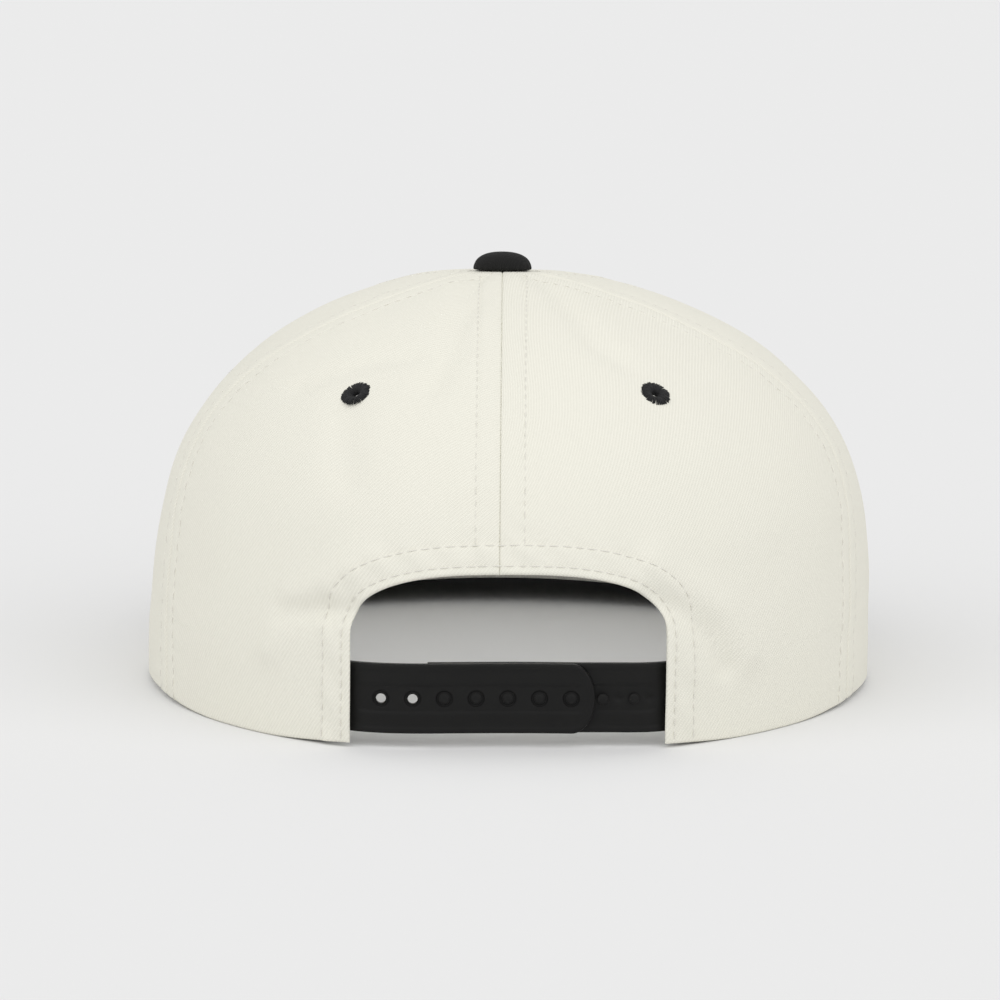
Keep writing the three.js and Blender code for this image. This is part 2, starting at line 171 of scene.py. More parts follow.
def crown_normal(azimuth, climb):
    half_turn, step = 0.5, 0.004
    along = crown_point(azimuth + half_turn, climb) - crown_point(azimuth - half_turn, climb)
    low = np.clip(climb - step, 0, 1 - 2 * step)
    normal = np.cross(along, crown_point(azimuth, low + 2 * step) - crown_point(azimuth, low))
    normal[..., 2] *= smoothstep(climb, wall_share / 4, wall_share)
    return normal / np.linalg.norm(normal, axis=-1, keepdims=True)


def seam_at(seam, climb):
    """The azimuth of a seam at a climb: the seams of the side panels aren't straight."""
    if abs(seam) not in (side_seam_azimuth, front_seam_azimuth):
        return seam + 0 * climb
    beside_back = abs(seam) == side_seam_azimuth
    bow = side_seam_bow if beside_back else front_seam_bow
    back = side_seam_return if beside_back else 0
    forward = bow * np.exp(-(((climb - seam_bow_climb) / seam_bow_span) ** 2))
    return seam + np.sign(seam) * (forward - back * smoothstep(climb, seam_return_from, 1))


def distance_to_line(points, line):
    """How far each point is from a line of straight pieces."""
    nearest = np.full(points.shape[:-1], np.inf)
    for start, end in zip(line[:-1], line[1:]):
        along = end - start
        share = np.clip(((points - start) @ along) / (along @ along), 0, 1)
        away = np.linalg.norm(points - start - share[..., None] * along, axis=-1)
        nearest = np.minimum(nearest, away)
    return nearest


arch_turn = np.linspace(np.pi / 2, 0, 49)
arch_x = arch_half_width * signed_power(np.cos(arch_turn), 2 / arch_roundness)
arch_z = lerp(arch_straight_height, arch_height, np.sin(arch_turn) ** (2 / arch_roundness))
arch_line = np.stack([np.append(arch_x, arch_half_width), np.append(arch_z, 0)], -1)
fold_lines = [
    (crown_point(*np.array(places).T), width, depth) for places, width, depth in cloth_folds
]
seam_azimuths = (-130, -67, 0, 67, 130, 180)


def slack_at(points):
    """The uneven lie of soft cloth, from -1 to 1."""
    broad = [noise.noise(Vector(p) * 24) for p in points.reshape(-1, 3)]
    fine = [noise.noise(Vector(p) * 75 + Vector((3, 7, 1))) for p in points.reshape(-1, 3)]
    return (np.array(broad) + 0.3 * np.array(fine)).reshape(points.shape[:-1])


def cloth_relief(azimuth, climb):
    """How far the cloth stands proud of the plain crown: welts, stitch lines, folds and slack."""
    points = crown_point(azimuth, climb)
    seam = np.min(
        [
            np.linalg.norm(points - crown_point(seam_at(s, climb), climb), axis=-1)
            for s in seam_azimuths
        ],
        axis=0,
    )
    from_apex = np.hypot(points[..., 0] - seam_shift, points[..., 1] - crown_axis_y)
    open_cloth = smoothstep(from_apex, 0.006, 0.014)
    welt = smoothstep(seam, 0.0003, 0.0013) * (1 - smoothstep(seam, 0.0048, 0.0058))
    line = np.exp(-(((seam - topstitch_away) / 0.0006) ** 2))
    pucker = np.sin(points[..., 2] * 900 + 3 * np.sin(points[..., 0] * 160 + azimuth * 0.1))
    pucker *= np.exp(-(((seam - topstitch_away) / 0.0035) ** 2))
    relief = open_cloth * (seam_welt * welt - stitch_sink * line + pucker_height * pucker)
    at_back = points[..., 1] < crown_axis_y - 0.03
    folded = np.stack([np.abs(points[..., 0]), points[..., 2]], -1)
    opening = np.where(at_back, distance_to_line(folded, arch_line), 1)
    relief += opening_welt * (1 - smoothstep(opening, 0.0062, 0.0072))
    for row in opening_stitch_rows:
        relief -= stitch_sink * np.exp(-(((opening - row) / 0.0006) ** 2))
    ripple = np.sin(points[..., 0] * 700 + points[..., 2] * 500)
    relief += 1.6 * pucker_height * ripple * np.exp(-(((opening - 0.0052) / 0.0034) ** 2))
    for line, width, depth in fold_lines:
        relief += depth * np.exp(-((distance_to_line(points, line) / width) ** 2))
    calm = smoothstep(points[..., 2] - rim_height(azimuth), 0.002, 0.02)
    return relief + slack_height * slack_at(points) * calm * open_cloth


def edge_roll(away, width, depth):
    """How far the face of a turned edge falls back, at a distance from the edge."""
    return depth * (1 - np.sqrt(1 - (1 - np.clip(away / width, 0, 1)) ** 2))


def spaced(length, low_edge, high_edge, step):
    """Shares of a length, from 0 to 1, closer together near its ends."""
    low, high = np.array(low_edge), length - np.array(high_edge)[::-1]
    count = max(int(np.ceil((high[0] - low[-1]) / step)), 1)
    return np.concatenate([low, np.linspace(low[-1], high[0], count + 1)[1:-1], high]) / length


def even_steps(azimuths, climbs, shares):
    """Azimuths and climbs at shares of the length of a line on the crown."""
    steps = np.linalg.norm(np.diff(crown_point(azimuths, climbs), axis=0), axis=-1)
    length = np.concatenate([[0], np.cumsum(steps)])
    at = shares * length[-1]
    return np.interp(at, length, azimuths), np.interp(at, length, climbs)


def climb_to_radius(radius):
    turn = np.arccos((radius / rim_half_width) ** (top_roundness / 2))
    return wall_share + (1 - wall_share) * turn / (np.pi / 2)


def crown_at(x, z):
    """Azimuth and climb of the point at the back of the crown at an x and a height."""
    low_turn, high_turn = np.full(x.shape, -80.0), np.full(x.shape, 80.0)
    for _ in range(26):
        turn = (low_turn + high_turn) / 2
        low, high = np.zeros(x.shape), np.ones(x.shape)
        for _ in range(26):
            climb = (low + high) / 2
            below = crown_point(turn, climb)[..., 2] < z
            low, high = np.where(below, climb, low), np.where(below, high, climb)
        left = crown_point(turn, climb)[..., 0] < x
        low_turn, high_turn = np.where(left, turn, low_turn), np.where(left, high_turn, turn)
    return turn, climb


def closed_wall(outer, inner):
    """Points and faces of a closed wall between two grids of points. Seen from outside, a grid's
    columns run to the right and its rows run up."""
    rows, columns = outer.shape[:2]
    layer = rows * columns
    index = np.arange(layer).reshape(rows, columns)
    corners = (index[:-1, :-1], index[:-1, 1:], index[1:, 1:], index[1:, :-1])
    outside = np.stack([c.ravel() for c in corners], 1)
    border = np.concatenate([index[0], index[1:, -1], index[-1, -2::-1], index[-2:0:-1, 0]])
    after = np.roll(border, -1)
    rim = np.stack([after, border, border + layer, after + layer], 1)
    faces = np.concatenate([outside, outside[:, ::-1] + layer, rim])
    return np.concatenate([outer.reshape(-1, 3), inner.reshape(-1, 3)]), faces


def piece_from(name, points, faces, material, cloth=None):
    """A smooth mesh object; cloth gives each point its place on the flat cloth, in metres."""
    mesh = bpy.data.meshes.new(name)
    mesh.from_pydata(np.asarray(points).tolist(), [], [list(map(int, face)) for face in faces])
    mesh.shade_smooth()
    if cloth is not None:
        corners = np.zeros(len(mesh.loops), np.int32)
        mesh.loops.foreach_get("vertex_index", corners)
        mesh.uv_layers.new(name="cloth").data.foreach_set("uv", cloth[corners].ravel())
    mesh.materials.append(material)
    piece = bpy.data.objects.new(name, mesh)
    bpy.context.collection.objects.link(piece)
    return piece


def shader_mix(tree, factor, first, second):
    mix = tree.nodes.new("ShaderNodeMix")
    mix.data_type = "RGBA"
    if isinstance(factor, float):
        mix.inputs[0].default_value = factor
    else:
        tree.links.new(factor, mix.inputs[0])
    for socket, value in ((mix.inputs[6], first), (mix.inputs[7], second)):
        if isinstance(value, tuple):
            socket.default_value = (*value, 1)
        else:
            tree.links.new(value, socket)
    return mix.outputs[2]


def shader_math(tree, operation, *values):
    node = tree.nodes.new("ShaderNodeMath")
    node.operation = operation
    for socket, value in zip(node.inputs, values):
        if isinstance(value, (int, float)):
            socket.default_value = value
        else:
            tree.links.new(value, socket)
    return node.outputs[0]


def twill_cloth(name, pale, hollow_shade_colour, rib_pitch, rib_slope, relief, sheen):
    """Cotton twill: slanting ribs of floating yarns, read from the piece's own flat cloth, with
    painted shade in the hollows between them.
    """
    material = bpy.data.materials.new(name)
    material.use_nodes = True
    tree = material.node_tree
    finish = tree.nodes["Principled BSDF"]
    place = tree.nodes.new("ShaderNodeUVMap")
    place.uv_map = "cloth"
    turned = tree.nodes.new("ShaderNodeMapping")
    turned.inputs["Rotation"].default_value[2] = math.radians(90 - rib_slope)
    tree.links.new(place.outputs[0], turned.inputs[0])
    ribs = tree.nodes.new("ShaderNodeTexWave")
    ribs.inputs["Scale"].default_value = math.pi / 10 / rib_pitch
    ribs.inputs["Distortion"].default_value = 0.9
    ribs.inputs["Detail"].default_value = 1.5
    ribs.inputs["Detail Scale"].default_value = 0.35
    yarns = tree.nodes.new("ShaderNodeTexWave")
    yarns.bands_direction = "Y"
    yarns.inputs["Scale"].default_value = math.pi / 10 / (rib_pitch * 0.62)
    yarns.inputs["Distortion"].default_value = 1.6
    slubs = tree.nodes.new("ShaderNodeTexNoise")
    slubs.inputs["Scale"].default_value = 900
    slubs.inputs["Detail"].default_value = 3
    patches = tree.nodes.new("ShaderNodeTexNoise")
    patches.inputs["Scale"].default_value = 55
    patches.inputs["Detail"].default_value = 4
    for texture in (ribs, yarns, slubs, patches):
        tree.links.new(turned.outputs[0], texture.inputs["Vector"])
    raised = shader_math(tree, "MULTIPLY", yarns.outputs["Fac"], 0.35)
    raised = shader_math(tree, "MULTIPLY_ADD", ribs.outputs["Fac"], 0.8, raised)
    raised = shader_math(tree, "MULTIPLY_ADD", slubs.outputs["Fac"], 0.45, raised)
    bump = tree.nodes.new("ShaderNodeBump")
    bump.inputs["Strength"].default_value = relief
    bump.inputs["Distance"].default_value = 0.00022
    tree.links.new(raised, bump.inputs["Height"])
    tree.links.new(bump.outputs[0], finish.inputs["Normal"])
    # Painted shade: the base colour darkens towards the hollow shade colour where the weave's bump
    # height is low, in the hollows between ribs and yarns.
    painted_hollow_shade = shader_math(tree, "SUBTRACT", 1.45, raised)
    painted_hollow_shade = shader_math(tree, "MULTIPLY", painted_hollow_shade, 0.55)
    weave_with_painted_shade = shader_mix(tree, painted_hollow_shade, pale, hollow_shade_colour)
    tint = tuple(channel * 0.94 for channel in pale)
    uneven = shader_math(tree, "MULTIPLY", patches.outputs["Fac"], 0.45)
    tree.links.new(shader_mix(tree, uneven, weave_with_painted_shade, tint), finish.inputs["Base Color"])
    rough = shader_math(tree, "MULTIPLY_ADD", slubs.outputs["Fac"], 0.15, 0.8)
    tree.links.new(rough, finish.inputs["Roughness"])
    finish.inputs["Specular IOR Level"].default_value = 0.2
    finish.inputs["Sheen Weight"].default_value = sheen
    finish.inputs["Sheen Roughness"].default_value = 0.5
    return material


off_white_twill = twill_cloth(
    "off_white_twill",
    pale=(0.85, 0.834, 0.746),
    hollow_shade_colour=(0.70, 0.686, 0.6),
    rib_pitch=0.00078,
    rib_slope=55,
    relief=0.4,
    sheen=0.05,
)

near_edge = np.array([0, 0.2, 0.45, 0.8, 1.3, 2, 2.8, 3.6, 4.2, 4.6, 4.95, 5.3, 5.65, 6.1, 6.8]) / 1000
near_rim = np.array([0, 0.2, 0.45, 0.8, 1.5, 2.6]) / 1000
near_opening = np.append(np.array([0, 0.2, 0.45, 0.7, 1]), np.arange(1.35, 8.1, 0.35)) / 1000
near_button = np.array([0, 1, 2]) / 1000
cloth_step = 0.0014


def seam_clearance(middle, climb):
    """Half of the gap at a seam, as an azimuth."""
    point, apex = crown_point(middle, climb), crown_point(middle, 1.0)
    radius = np.hypot(point[..., 0] - apex[0], point[..., 1] - apex[1])
    return np.degrees(seam_gap / 2 / radius)


def gore_edges(start, end, climb):
    """The azimuths of a panel's two edges at a climb."""
    clear = seam_clearance((start + end) / 2, climb)
    return seam_at(start, climb) + clear, seam_at(end, climb) - clear


def flat_cloth(start, end, azimuth, climb):
    """Where the points of a panel lie on the flat cloth that it was cut from."""
    climbs = np.linspace(0, climb_to_radius(panels_end), 200)
    left, right = gore_edges(start, end, climbs)
    across = crown_point(left + (right - left) * np.linspace(0, 1, 25)[:, None], climbs)
    half_width = np.linalg.norm(np.diff(across, axis=0), axis=-1).sum(0) / 2
    up = np.linalg.norm(np.diff(across[12], axis=0), axis=-1)
    up = np.concatenate([[0], np.cumsum(up)])
    draw_in = np.gradient(half_width, up)
    share = 2 * (azimuth - np.interp(climb, climbs, left))
    share = share / np.interp(climb, climbs, right - left) - 1
    width = np.interp(climb, climbs, half_width)
    rise = np.interp(climb, climbs, up) - np.interp(climb, climbs, draw_in) * share**2 * width / 2
    return np.stack([share * width, rise], -1)


def opening_edge(sign):
    """Azimuths and climbs along the opening's edge, from its top at the seam to the rim."""
    top_x = np.array([seam_shift + sign * seam_gap / 2])
    beyond = np.linspace(-1, 1, 200) * arch_half_width
    height = lerp(
        arch_straight_height,
        arch_height,
        (1 - np.abs(beyond / arch_half_width) ** arch_roundness) ** (1 / arch_roundness),
    )
    keep = sign * (beyond - top_x) > 0.0004
    x = np.concatenate([top_x, beyond[keep][:: int(sign)]])
    z = np.interp(x, beyond, height)
    down = np.linspace(arch_straight_height, 0.0016, 40)[1:]
    x = np.concatenate([x, np.full(down.shape, sign * arch_half_width)])
    z = np.concatenate([z, down])
    azimuth, climb = crown_at(x, z)
    return np.append(azimuth, azimuth[-1]), np.append(climb, 0)


def back_grid(sign):
    """A back panel has four sides: the opening, the centre seam, the side seam and the rim. The
    side that follows the side seam starts with a short arc under the button."""
    edge = opening_edge(sign)
    top = climb_to_radius(panels_end)
    rising = np.linspace(edge[1][0], top, 300)
    centre_seam = (sign * seam_clearance(34, rising), rising)
    falling = np.linspace(top, 0, 500)
    side_seam = sign * (seam_at(side_seam_azimuth, falling) - seam_clearance(34, falling))
    under_button = np.linspace(centre_seam[0][-1], side_seam[0], 24)[:-1]
    side = (
        np.concatenate([under_button, side_seam]),
        np.concatenate([np.full(under_button.shape, top), falling]),
    )
    rim = (np.linspace(edge[0][-1], side[0][-1], 100), np.zeros(100))
    across = spaced(0.07, near_opening, near_edge, cloth_step)
    down = spaced(0.13, near_edge, near_rim, cloth_step)
    on_disc = []
    for line, shares in ((edge, down), (centre_seam, across), (side, down), (rim, across)):
        azimuth, climb = even_steps(*line, shares)
        radius = 1 - climb
        on_disc.append(np.stack([np.sin(np.radians(azimuth)), np.cos(np.radians(azimuth))], -1))
        on_disc[-1] *= radius[:, None]
    near, seam, far, low = on_disc
    u, v = across[None, :, None], down[:, None, None]
    grid = lerp(near[:, None], far[:, None], u) + lerp(seam[None], low[None], v)
    grid -= lerp(lerp(near[0], far[0], u), lerp(near[-1], far[-1], u), v)
    azimuth = np.degrees(np.arctan2(grid[..., 0], grid[..., 1]))
    climb = 1 - np.hypot(grid[..., 0], grid[..., 1])
    azimuth, climb = azimuth[::-1], np.clip(climb[::-1], 0, 1)
    return (azimuth, climb) if sign > 0 else (azimuth[:, ::-1], climb[:, ::-1])


def gore_grid(start, end):
    climbs = np.linspace(0, climb_to_radius(panels_end), 600)
    middle = np.full(climbs.shape, (start + end) / 2)
    climb = even_steps(middle, climbs, spaced(0.145, near_rim, near_button, cloth_step))[1]
    left, right = gore_edges(start, end, climb)
    across = spaced(0.098, near_edge, near_edge, cloth_step)
    azimuth = lerp(left[:, None], right[:, None], across[None])
    return azimuth, np.broadcast_to(climb[:, None], azimuth.shape).copy()


def cloth_panel(name, start, end, azimuth, climb):
    outside = crown_point(azimuth, climb)
    normal = crown_normal(azimuth, climb)
    seam = np.minimum(
        np.linalg.norm(outside - crown_point(seam_at(start, climb), climb), axis=-1),
        np.linalg.norm(outside - crown_point(seam_at(end, climb), climb), axis=-1),
    )
    edge = outside[..., 2] - rim_height(azimuth)
    through = normal.copy()
    if start == 0 or end == 0:
        folded = np.stack([np.abs(outside[..., 0]), outside[..., 2]], -1)
        opening = distance_to_line(folded, arch_line)
        edge = np.minimum(edge, opening)
        square = (1 - smoothstep(opening, 0.001, 0.008))[..., None]
        along_y = np.zeros(normal.shape)
        along_y[..., 1] = 1 / np.minimum(normal[..., 1], -0.5)
        through = lerp(through, along_y, square)
    roll = edge_roll(edge, *edge_round) + edge_roll(seam - seam_gap / 2, *seam_round)
    for line in (start, end):
        if line != 0:
            away = np.linalg.norm(outside - crown_point(seam_at(line, climb), climb), axis=-1)
            roll = np.maximum(roll, edge_roll(away - seam_gap / 2, *side_seam_round))
    roll = roll[..., None]
    relief = cloth_relief(azimuth, climb)[..., None]
    face = outside + normal * (relief - roll)
    back = outside + through * (np.minimum(relief, 0) * 0.8 - cloth_wall + np.minimum(roll, 0.0007))
    points, faces = closed_wall(face, back)
    cloth = flat_cloth(start, end, azimuth, climb).reshape(-1, 2)
    return piece_from(name, points, faces, off_white_twill, np.concatenate([cloth, cloth]))


eyelet_climbs = {"back": 0.567, "side": 0.48, "front": 0.567}
eyelet_hole_radius = 0.0015
eyelet_azimuths = {"back": 34, "side": 105, "front": 156}
seams = {
    "back": (0, side_seam_azimuth),
    "side": (side_seam_azimuth, front_seam_azimuth),
    "front": (front_seam_azimuth, 180),
}


def punched(piece, centre, outward):
    """The panel with a small round hole through it for its eyelet."""
    mesh = bpy.data.meshes.new("punch")
    shape = bmesh.new()
    bmesh.ops.create_cone(
        shape,
        cap_ends=True,
        segments=20,
        radius1=eyelet_hole_radius,
        radius2=eyelet_hole_radius,
        depth=0.012,
    )
    turn = Vector((0, 0, 1)).rotation_difference(Vector(outward)).to_matrix().to_4x4()
    shape.transform(Matrix.Translation(Vector(centre)) @ turn)
    shape.to_mesh(mesh)
    shape.free()
    punch = bpy.data.objects.new("punch", mesh)
    bpy.context.collection.objects.link(punch)
    cut = piece.modifiers.new("punch", "BOOLEAN")
    cut.object = punch
    cut.operation = "DIFFERENCE"
    cut.solver = "EXACT"
    seen = piece.evaluated_get(bpy.context.evaluated_depsgraph_get())
    holed = bpy.data.meshes.new_from_object(seen)
    piece.modifiers.clear()
    piece.data = holed
    bpy.data.objects.remove(punch)
    return piece


for place, (near, far) in seams.items():
    for side, sign in (("left", -1), ("right", 1)):
        start, end = (near, far) if sign > 0 else (-far, -near)
        azimuth, climb = back_grid(sign) if place == "back" else gore_grid(start, end)
        node = f"{place}_panel_{side}"
        panel = cloth_panel(f"{place}_gore_{side}", start, end, azimuth, climb)
        eyelet_azimuth = sign * eyelet_azimuths[place]
        eyelet_climb = np.array(eyelet_climbs[place])
        centre = crown_point(eyelet_azimuth, eyelet_climb)
        panel = punched(panel, centre, crown_normal(eyelet_azimuth, eyelet_climb))
        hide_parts(node)
        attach(panel, "root")

# Topstitching of the crown: off-white cotton thread, lockstitched. A row runs on each side of
# every seam, and two rows hold down the turned edge of the rear opening.
stitch_pitch = 0.003
stitch_share = 0.84
seam_thread = 0.00013
opening_thread = 0.00016
stitch_dip = 0.0003


def nodes_with_inputs(name, inputs):
    """An empty Geometry Nodes tree with named inputs, and its input and output nodes."""
    tree = bpy.data.node_groups.new(name, "GeometryNodeTree")
    tree.interface.new_socket("Geometry", in_out="INPUT", socket_type="NodeSocketGeometry")
    for label, kind in inputs:
        tree.interface.new_socket(label, in_out="INPUT", socket_type=kind)
    tree.interface.new_socket("Geometry", in_out="OUTPUT", socket_type="NodeSocketGeometry")
    return tree, tree.nodes.new("NodeGroupInput"), tree.nodes.new("NodeGroupOutput")


def node_math(tree, operation, *values):
    node = tree.nodes.new("ShaderNodeMath")
    node.operation = operation
    for socket, value in zip(node.inputs, values):
        if isinstance(value, (int, float)):
            socket.default_value = value
        else:
            tree.links.new(value, socket)
    return node.outputs[0]


def node_vector(tree, *values):
    node = tree.nodes.new("ShaderNodeCombineXYZ")
    for socket, value in zip(node.inputs, values):
        if isinstance(value, (int, float)):
            socket.default_value = value
        else:
            tree.links.new(value, socket)
    return node.outputs[0]


def stand_along(tree, along, outward):
    """A rotation that turns X along a path and Z away from the surface."""
    first = tree.nodes.new("FunctionNodeAlignRotationToVector")
    first.axis = "X"
    second = tree.nodes.new("FunctionNodeAlignRotationToVector")
    second.axis = "Z"
    second.pivot_axis = "X"
    if along is None:
        second.pivot_axis = "AUTO"
    else:
        tree.links.new(along, first.inputs["Vector"])
        tree.links.new(first.outputs[0], second.inputs["Rotation"])
    tree.links.new(outward, second.inputs["Vector"])
    return second.outputs[0]


def outward_attribute(tree):
    named = tree.nodes.new("GeometryNodeInputNamedAttribute")
    named.data_type = "FLOAT_VECTOR"
    named.inputs["Name"].default_value = "outward"
    return named.outputs[0]


def finished(tree, instances, material, output):
    real = tree.nodes.new("GeometryNodeRealizeInstances")
    painted = tree.nodes.new("GeometryNodeSetMaterial")
    tree.links.new(instances, real.inputs[0])
    tree.links.new(real.outputs[0], painted.inputs["Geometry"])
    tree.links.new(material, painted.inputs["Material"])
    smooth = tree.nodes.new("GeometryNodeSetShadeSmooth")
    tree.links.new(painted.outputs[0], smooth.inputs["Geometry"])
    tree.links.new(smooth.outputs[0], output.inputs[0])


def stitch_row_nodes():
    """Lays bent thread lengths one after another along the paths that it is given."""
    tree, given, result = nodes_with_inputs(
        "stitch_row",
        [
            ("Pitch", "NodeSocketFloat"),
            ("Stitch share", "NodeSocketFloat"),
            ("Thread radius", "NodeSocketFloat"),
            ("End dip", "NodeSocketFloat"),
            ("Thread", "NodeSocketMaterial"),
        ],
    )
    links = tree.links
    path = tree.nodes.new("GeometryNodeMeshToCurve")
    stepped = tree.nodes.new("GeometryNodeResampleCurve")
    stepped.mode = "LENGTH"
    links.new(given.outputs["Geometry"], path.inputs[0])
    links.new(path.outputs[0], stepped.inputs["Curve"])
    links.new(given.outputs["Pitch"], stepped.inputs["Length"])
    half = node_math(tree, "MULTIPLY", given.outputs["Pitch"], given.outputs["Stitch share"])
    half = node_math(tree, "MULTIPLY", half, 0.5)
    low = node_math(tree, "MULTIPLY", given.outputs["End dip"], -1)
    high = node_math(tree, "MULTIPLY", given.outputs["End dip"], 0.5)
    bend = tree.nodes.new("GeometryNodeCurvePrimitiveBezierSegment")
    bend.inputs["Resolution"].default_value = 5
    back = node_math(tree, "MULTIPLY", half, -1)
    links.new(node_vector(tree, back, 0.0, low), bend.inputs["Start"])
    links.new(
        node_vector(tree, node_math(tree, "MULTIPLY", half, -0.7), 0.0, high),
        bend.inputs["Start Handle"],
    )
    links.new(
        node_vector(tree, node_math(tree, "MULTIPLY", half, 0.7), 0.0, high),
        bend.inputs["End Handle"],
    )
    links.new(node_vector(tree, half, 0.0, low), bend.inputs["End"])
    ring = tree.nodes.new("GeometryNodeCurvePrimitiveCircle")
    ring.inputs["Resolution"].default_value = 6
    links.new(given.outputs["Thread radius"], ring.inputs["Radius"])
    thread = tree.nodes.new("GeometryNodeCurveToMesh")
    thread.inputs["Fill Caps"].default_value = True
    links.new(bend.outputs[0], thread.inputs["Curve"])
    links.new(ring.outputs[0], thread.inputs["Profile Curve"])
    laid = tree.nodes.new("GeometryNodeInstanceOnPoints")
    tangent = tree.nodes.new("GeometryNodeInputTangent")
    links.new(stepped.outputs[0], laid.inputs["Points"])
    links.new(thread.outputs[0], laid.inputs["Instance"])
    turn = stand_along(tree, tangent.outputs[0], outward_attribute(tree))
    links.new(turn, laid.inputs["Rotation"])
    finished(tree, laid.outputs[0], given.outputs["Thread"], result)
    return tree


def marked_paths(name, paths):
    """One mesh of open paths, each a pair of arrays: points, and the way out of the surface."""
    points = np.concatenate([path for path, _ in paths])
    outward = np.concatenate([way for _, way in paths])
    edges, first = [], 0
    for path, _ in paths:
        edges += [(first + i, first + i + 1) for i in range(len(path) - 1)]
        first += len(path)
    mesh = bpy.data.meshes.new(name)
    mesh.from_pydata(points.tolist(), edges, [])
    mark = mesh.attributes.new("outward", "FLOAT_VECTOR", "POINT")
    mark.data.foreach_set("vector", outward.astype(np.float32).ravel())
    return mesh


def made_by_nodes(name, base, tree, values):
    """A plain mesh piece from a Geometry Nodes tree that runs on a base mesh."""
    carrier = bpy.data.objects.new(name + "_base", base)
    bpy.context.collection.objects.link(carrier)
    modifier = carrier.modifiers.new("nodes", "NODES")
    modifier.node_group = tree
    sockets = {s.name: s.identifier for s in tree.interface.items_tree if s.in_out == "INPUT"}
    for label, value in values.items():
        modifier[sockets[label]] = value
    seen = carrier.evaluated_get(bpy.context.evaluated_depsgraph_get())
    mesh = bpy.data.meshes.new_from_object(seen)
    mesh.name = name
    bpy.data.objects.remove(carrier)
    piece = bpy.data.objects.new(name, mesh)
    bpy.context.collection.objects.link(piece)
    return piece


def spun_thread(name, colour, sheen):
    """Spun cotton or polyester thread, with the fine slant of its twist and painted shade in its
    grooves.
    """
    material = bpy.data.materials.new(name)
    material.use_nodes = True
    tree = material.node_tree
    finish = tree.nodes["Principled BSDF"]
    place = tree.nodes.new("ShaderNodeTexCoord")
    twist = tree.nodes.new("ShaderNodeTexWave")
    twist.bands_direction = "DIAGONAL"
    twist.inputs["Scale"].default_value = 1400
    twist.inputs["Distortion"].default_value = 2
    fuzz = tree.nodes.new("ShaderNodeTexNoise")
    fuzz.inputs["Scale"].default_value = 2500
    for texture in (twist, fuzz):
        tree.links.new(place.outputs["Object"], texture.inputs["Vector"])
    # Painted shade: the thread's colour darkens in the low grooves of its twist, where its bump is
    # low.
    twist_groove_shade = tuple(channel * 0.8 for channel in colour)
    tree.links.new(
        shader_mix(tree, twist.outputs["Fac"], twist_groove_shade, colour), finish.inputs["Base Color"]
    )
    bump = tree.nodes.new("ShaderNodeBump")
    bump.inputs["Strength"].default_value = 0.4
    bump.inputs["Distance"].default_value = 0.00005
    height = shader_math(tree, "ADD", twist.outputs["Fac"], fuzz.outputs["Fac"])
    tree.links.new(height, bump.inputs["Height"])
    tree.links.new(bump.outputs[0], finish.inputs["Normal"])
    rough = shader_math(tree, "MULTIPLY_ADD", fuzz.outputs["Fac"], 0.2, 0.55)
    tree.links.new(rough, finish.inputs["Roughness"])
    finish.inputs["Specular IOR Level"].default_value = 0.25
    finish.inputs["Sheen Weight"].default_value = sheen
    return material


def sewn_line(azimuth, climb, lift):
    """A line on the relief of the crown, and its way outwards."""
    outward = crown_normal(azimuth, climb)
    proud = cloth_relief(azimuth, climb)[:, None] + lift
    return crown_point(azimuth, climb) + outward * proud, outward


def beside_seam(seam, away, climbs):
    """The azimuth at a distance to one side of a seam."""
    at = seam_at(seam, climbs)
    per_degree = np.linalg.norm(
        crown_point(at + 0.5, climbs) - crown_point(at - 0.5, climbs), axis=-1
    )
    return at + away / per_degree


off_white_thread = spun_thread("off_white_thread", (0.83, 0.81, 0.74), 0.2)
stitch_nodes = stitch_row_nodes()
crown_rows = []
row_top = climb_to_radius(0.0088)
for seam in seam_azimuths:
    foot = 0.012
    if seam == 0:
        foot = float(crown_at(np.array([seam_shift]), np.array([arch_height + 0.0075]))[1][0])
    climbs = np.linspace(foot, row_top, 160)
    for away in (-topstitch_away, topstitch_away):
        crown_rows.append(sewn_line(beside_seam(seam, away, climbs), climbs, 0.00004))
opening_rows = []
for row in opening_stitch_rows:
    half = np.linspace(0, np.pi / 2, 60)
    wide, tall = arch_half_width + row, arch_height + row
    x = wide * signed_power(np.sin(half), 2 / arch_roundness)
    z = lerp(arch_straight_height, tall, np.cos(half) ** (2 / arch_roundness))
    x = np.concatenate([x, np.full(30, wide)])
    z = np.concatenate([z, np.linspace(arch_straight_height - 0.0006, 0.003, 30)])
    x = np.concatenate([-x[:0:-1], x])
    z = np.concatenate([z[:0:-1], z])
    opening_rows.append(sewn_line(*crown_at(x, z), 0.0001))
for name, rows, thread in (
    ("crown_topstitches", crown_rows, seam_thread),
    ("opening_topstitches", opening_rows, opening_thread),
):
    stitches = made_by_nodes(
        name,
        marked_paths(name + "_rows", rows),
        stitch_nodes,
        {
            "Pitch": stitch_pitch,
            "Stitch share": stitch_share,
            "Thread radius": thread,
            "End dip": stitch_dip,
            "Thread": off_white_thread,
        },
    )
    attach(stitches, "root")

# Eyelets: one in each panel, a small punched hole overcast with black embroidery thread. The
# stitches fan out from the hole and end at uneven lengths on the cloth.
eyelet_threads = 84
eyelet_thread_radius = 0.00015
eyelet_reach = 0.00365
eyelet_bore = 0.0008


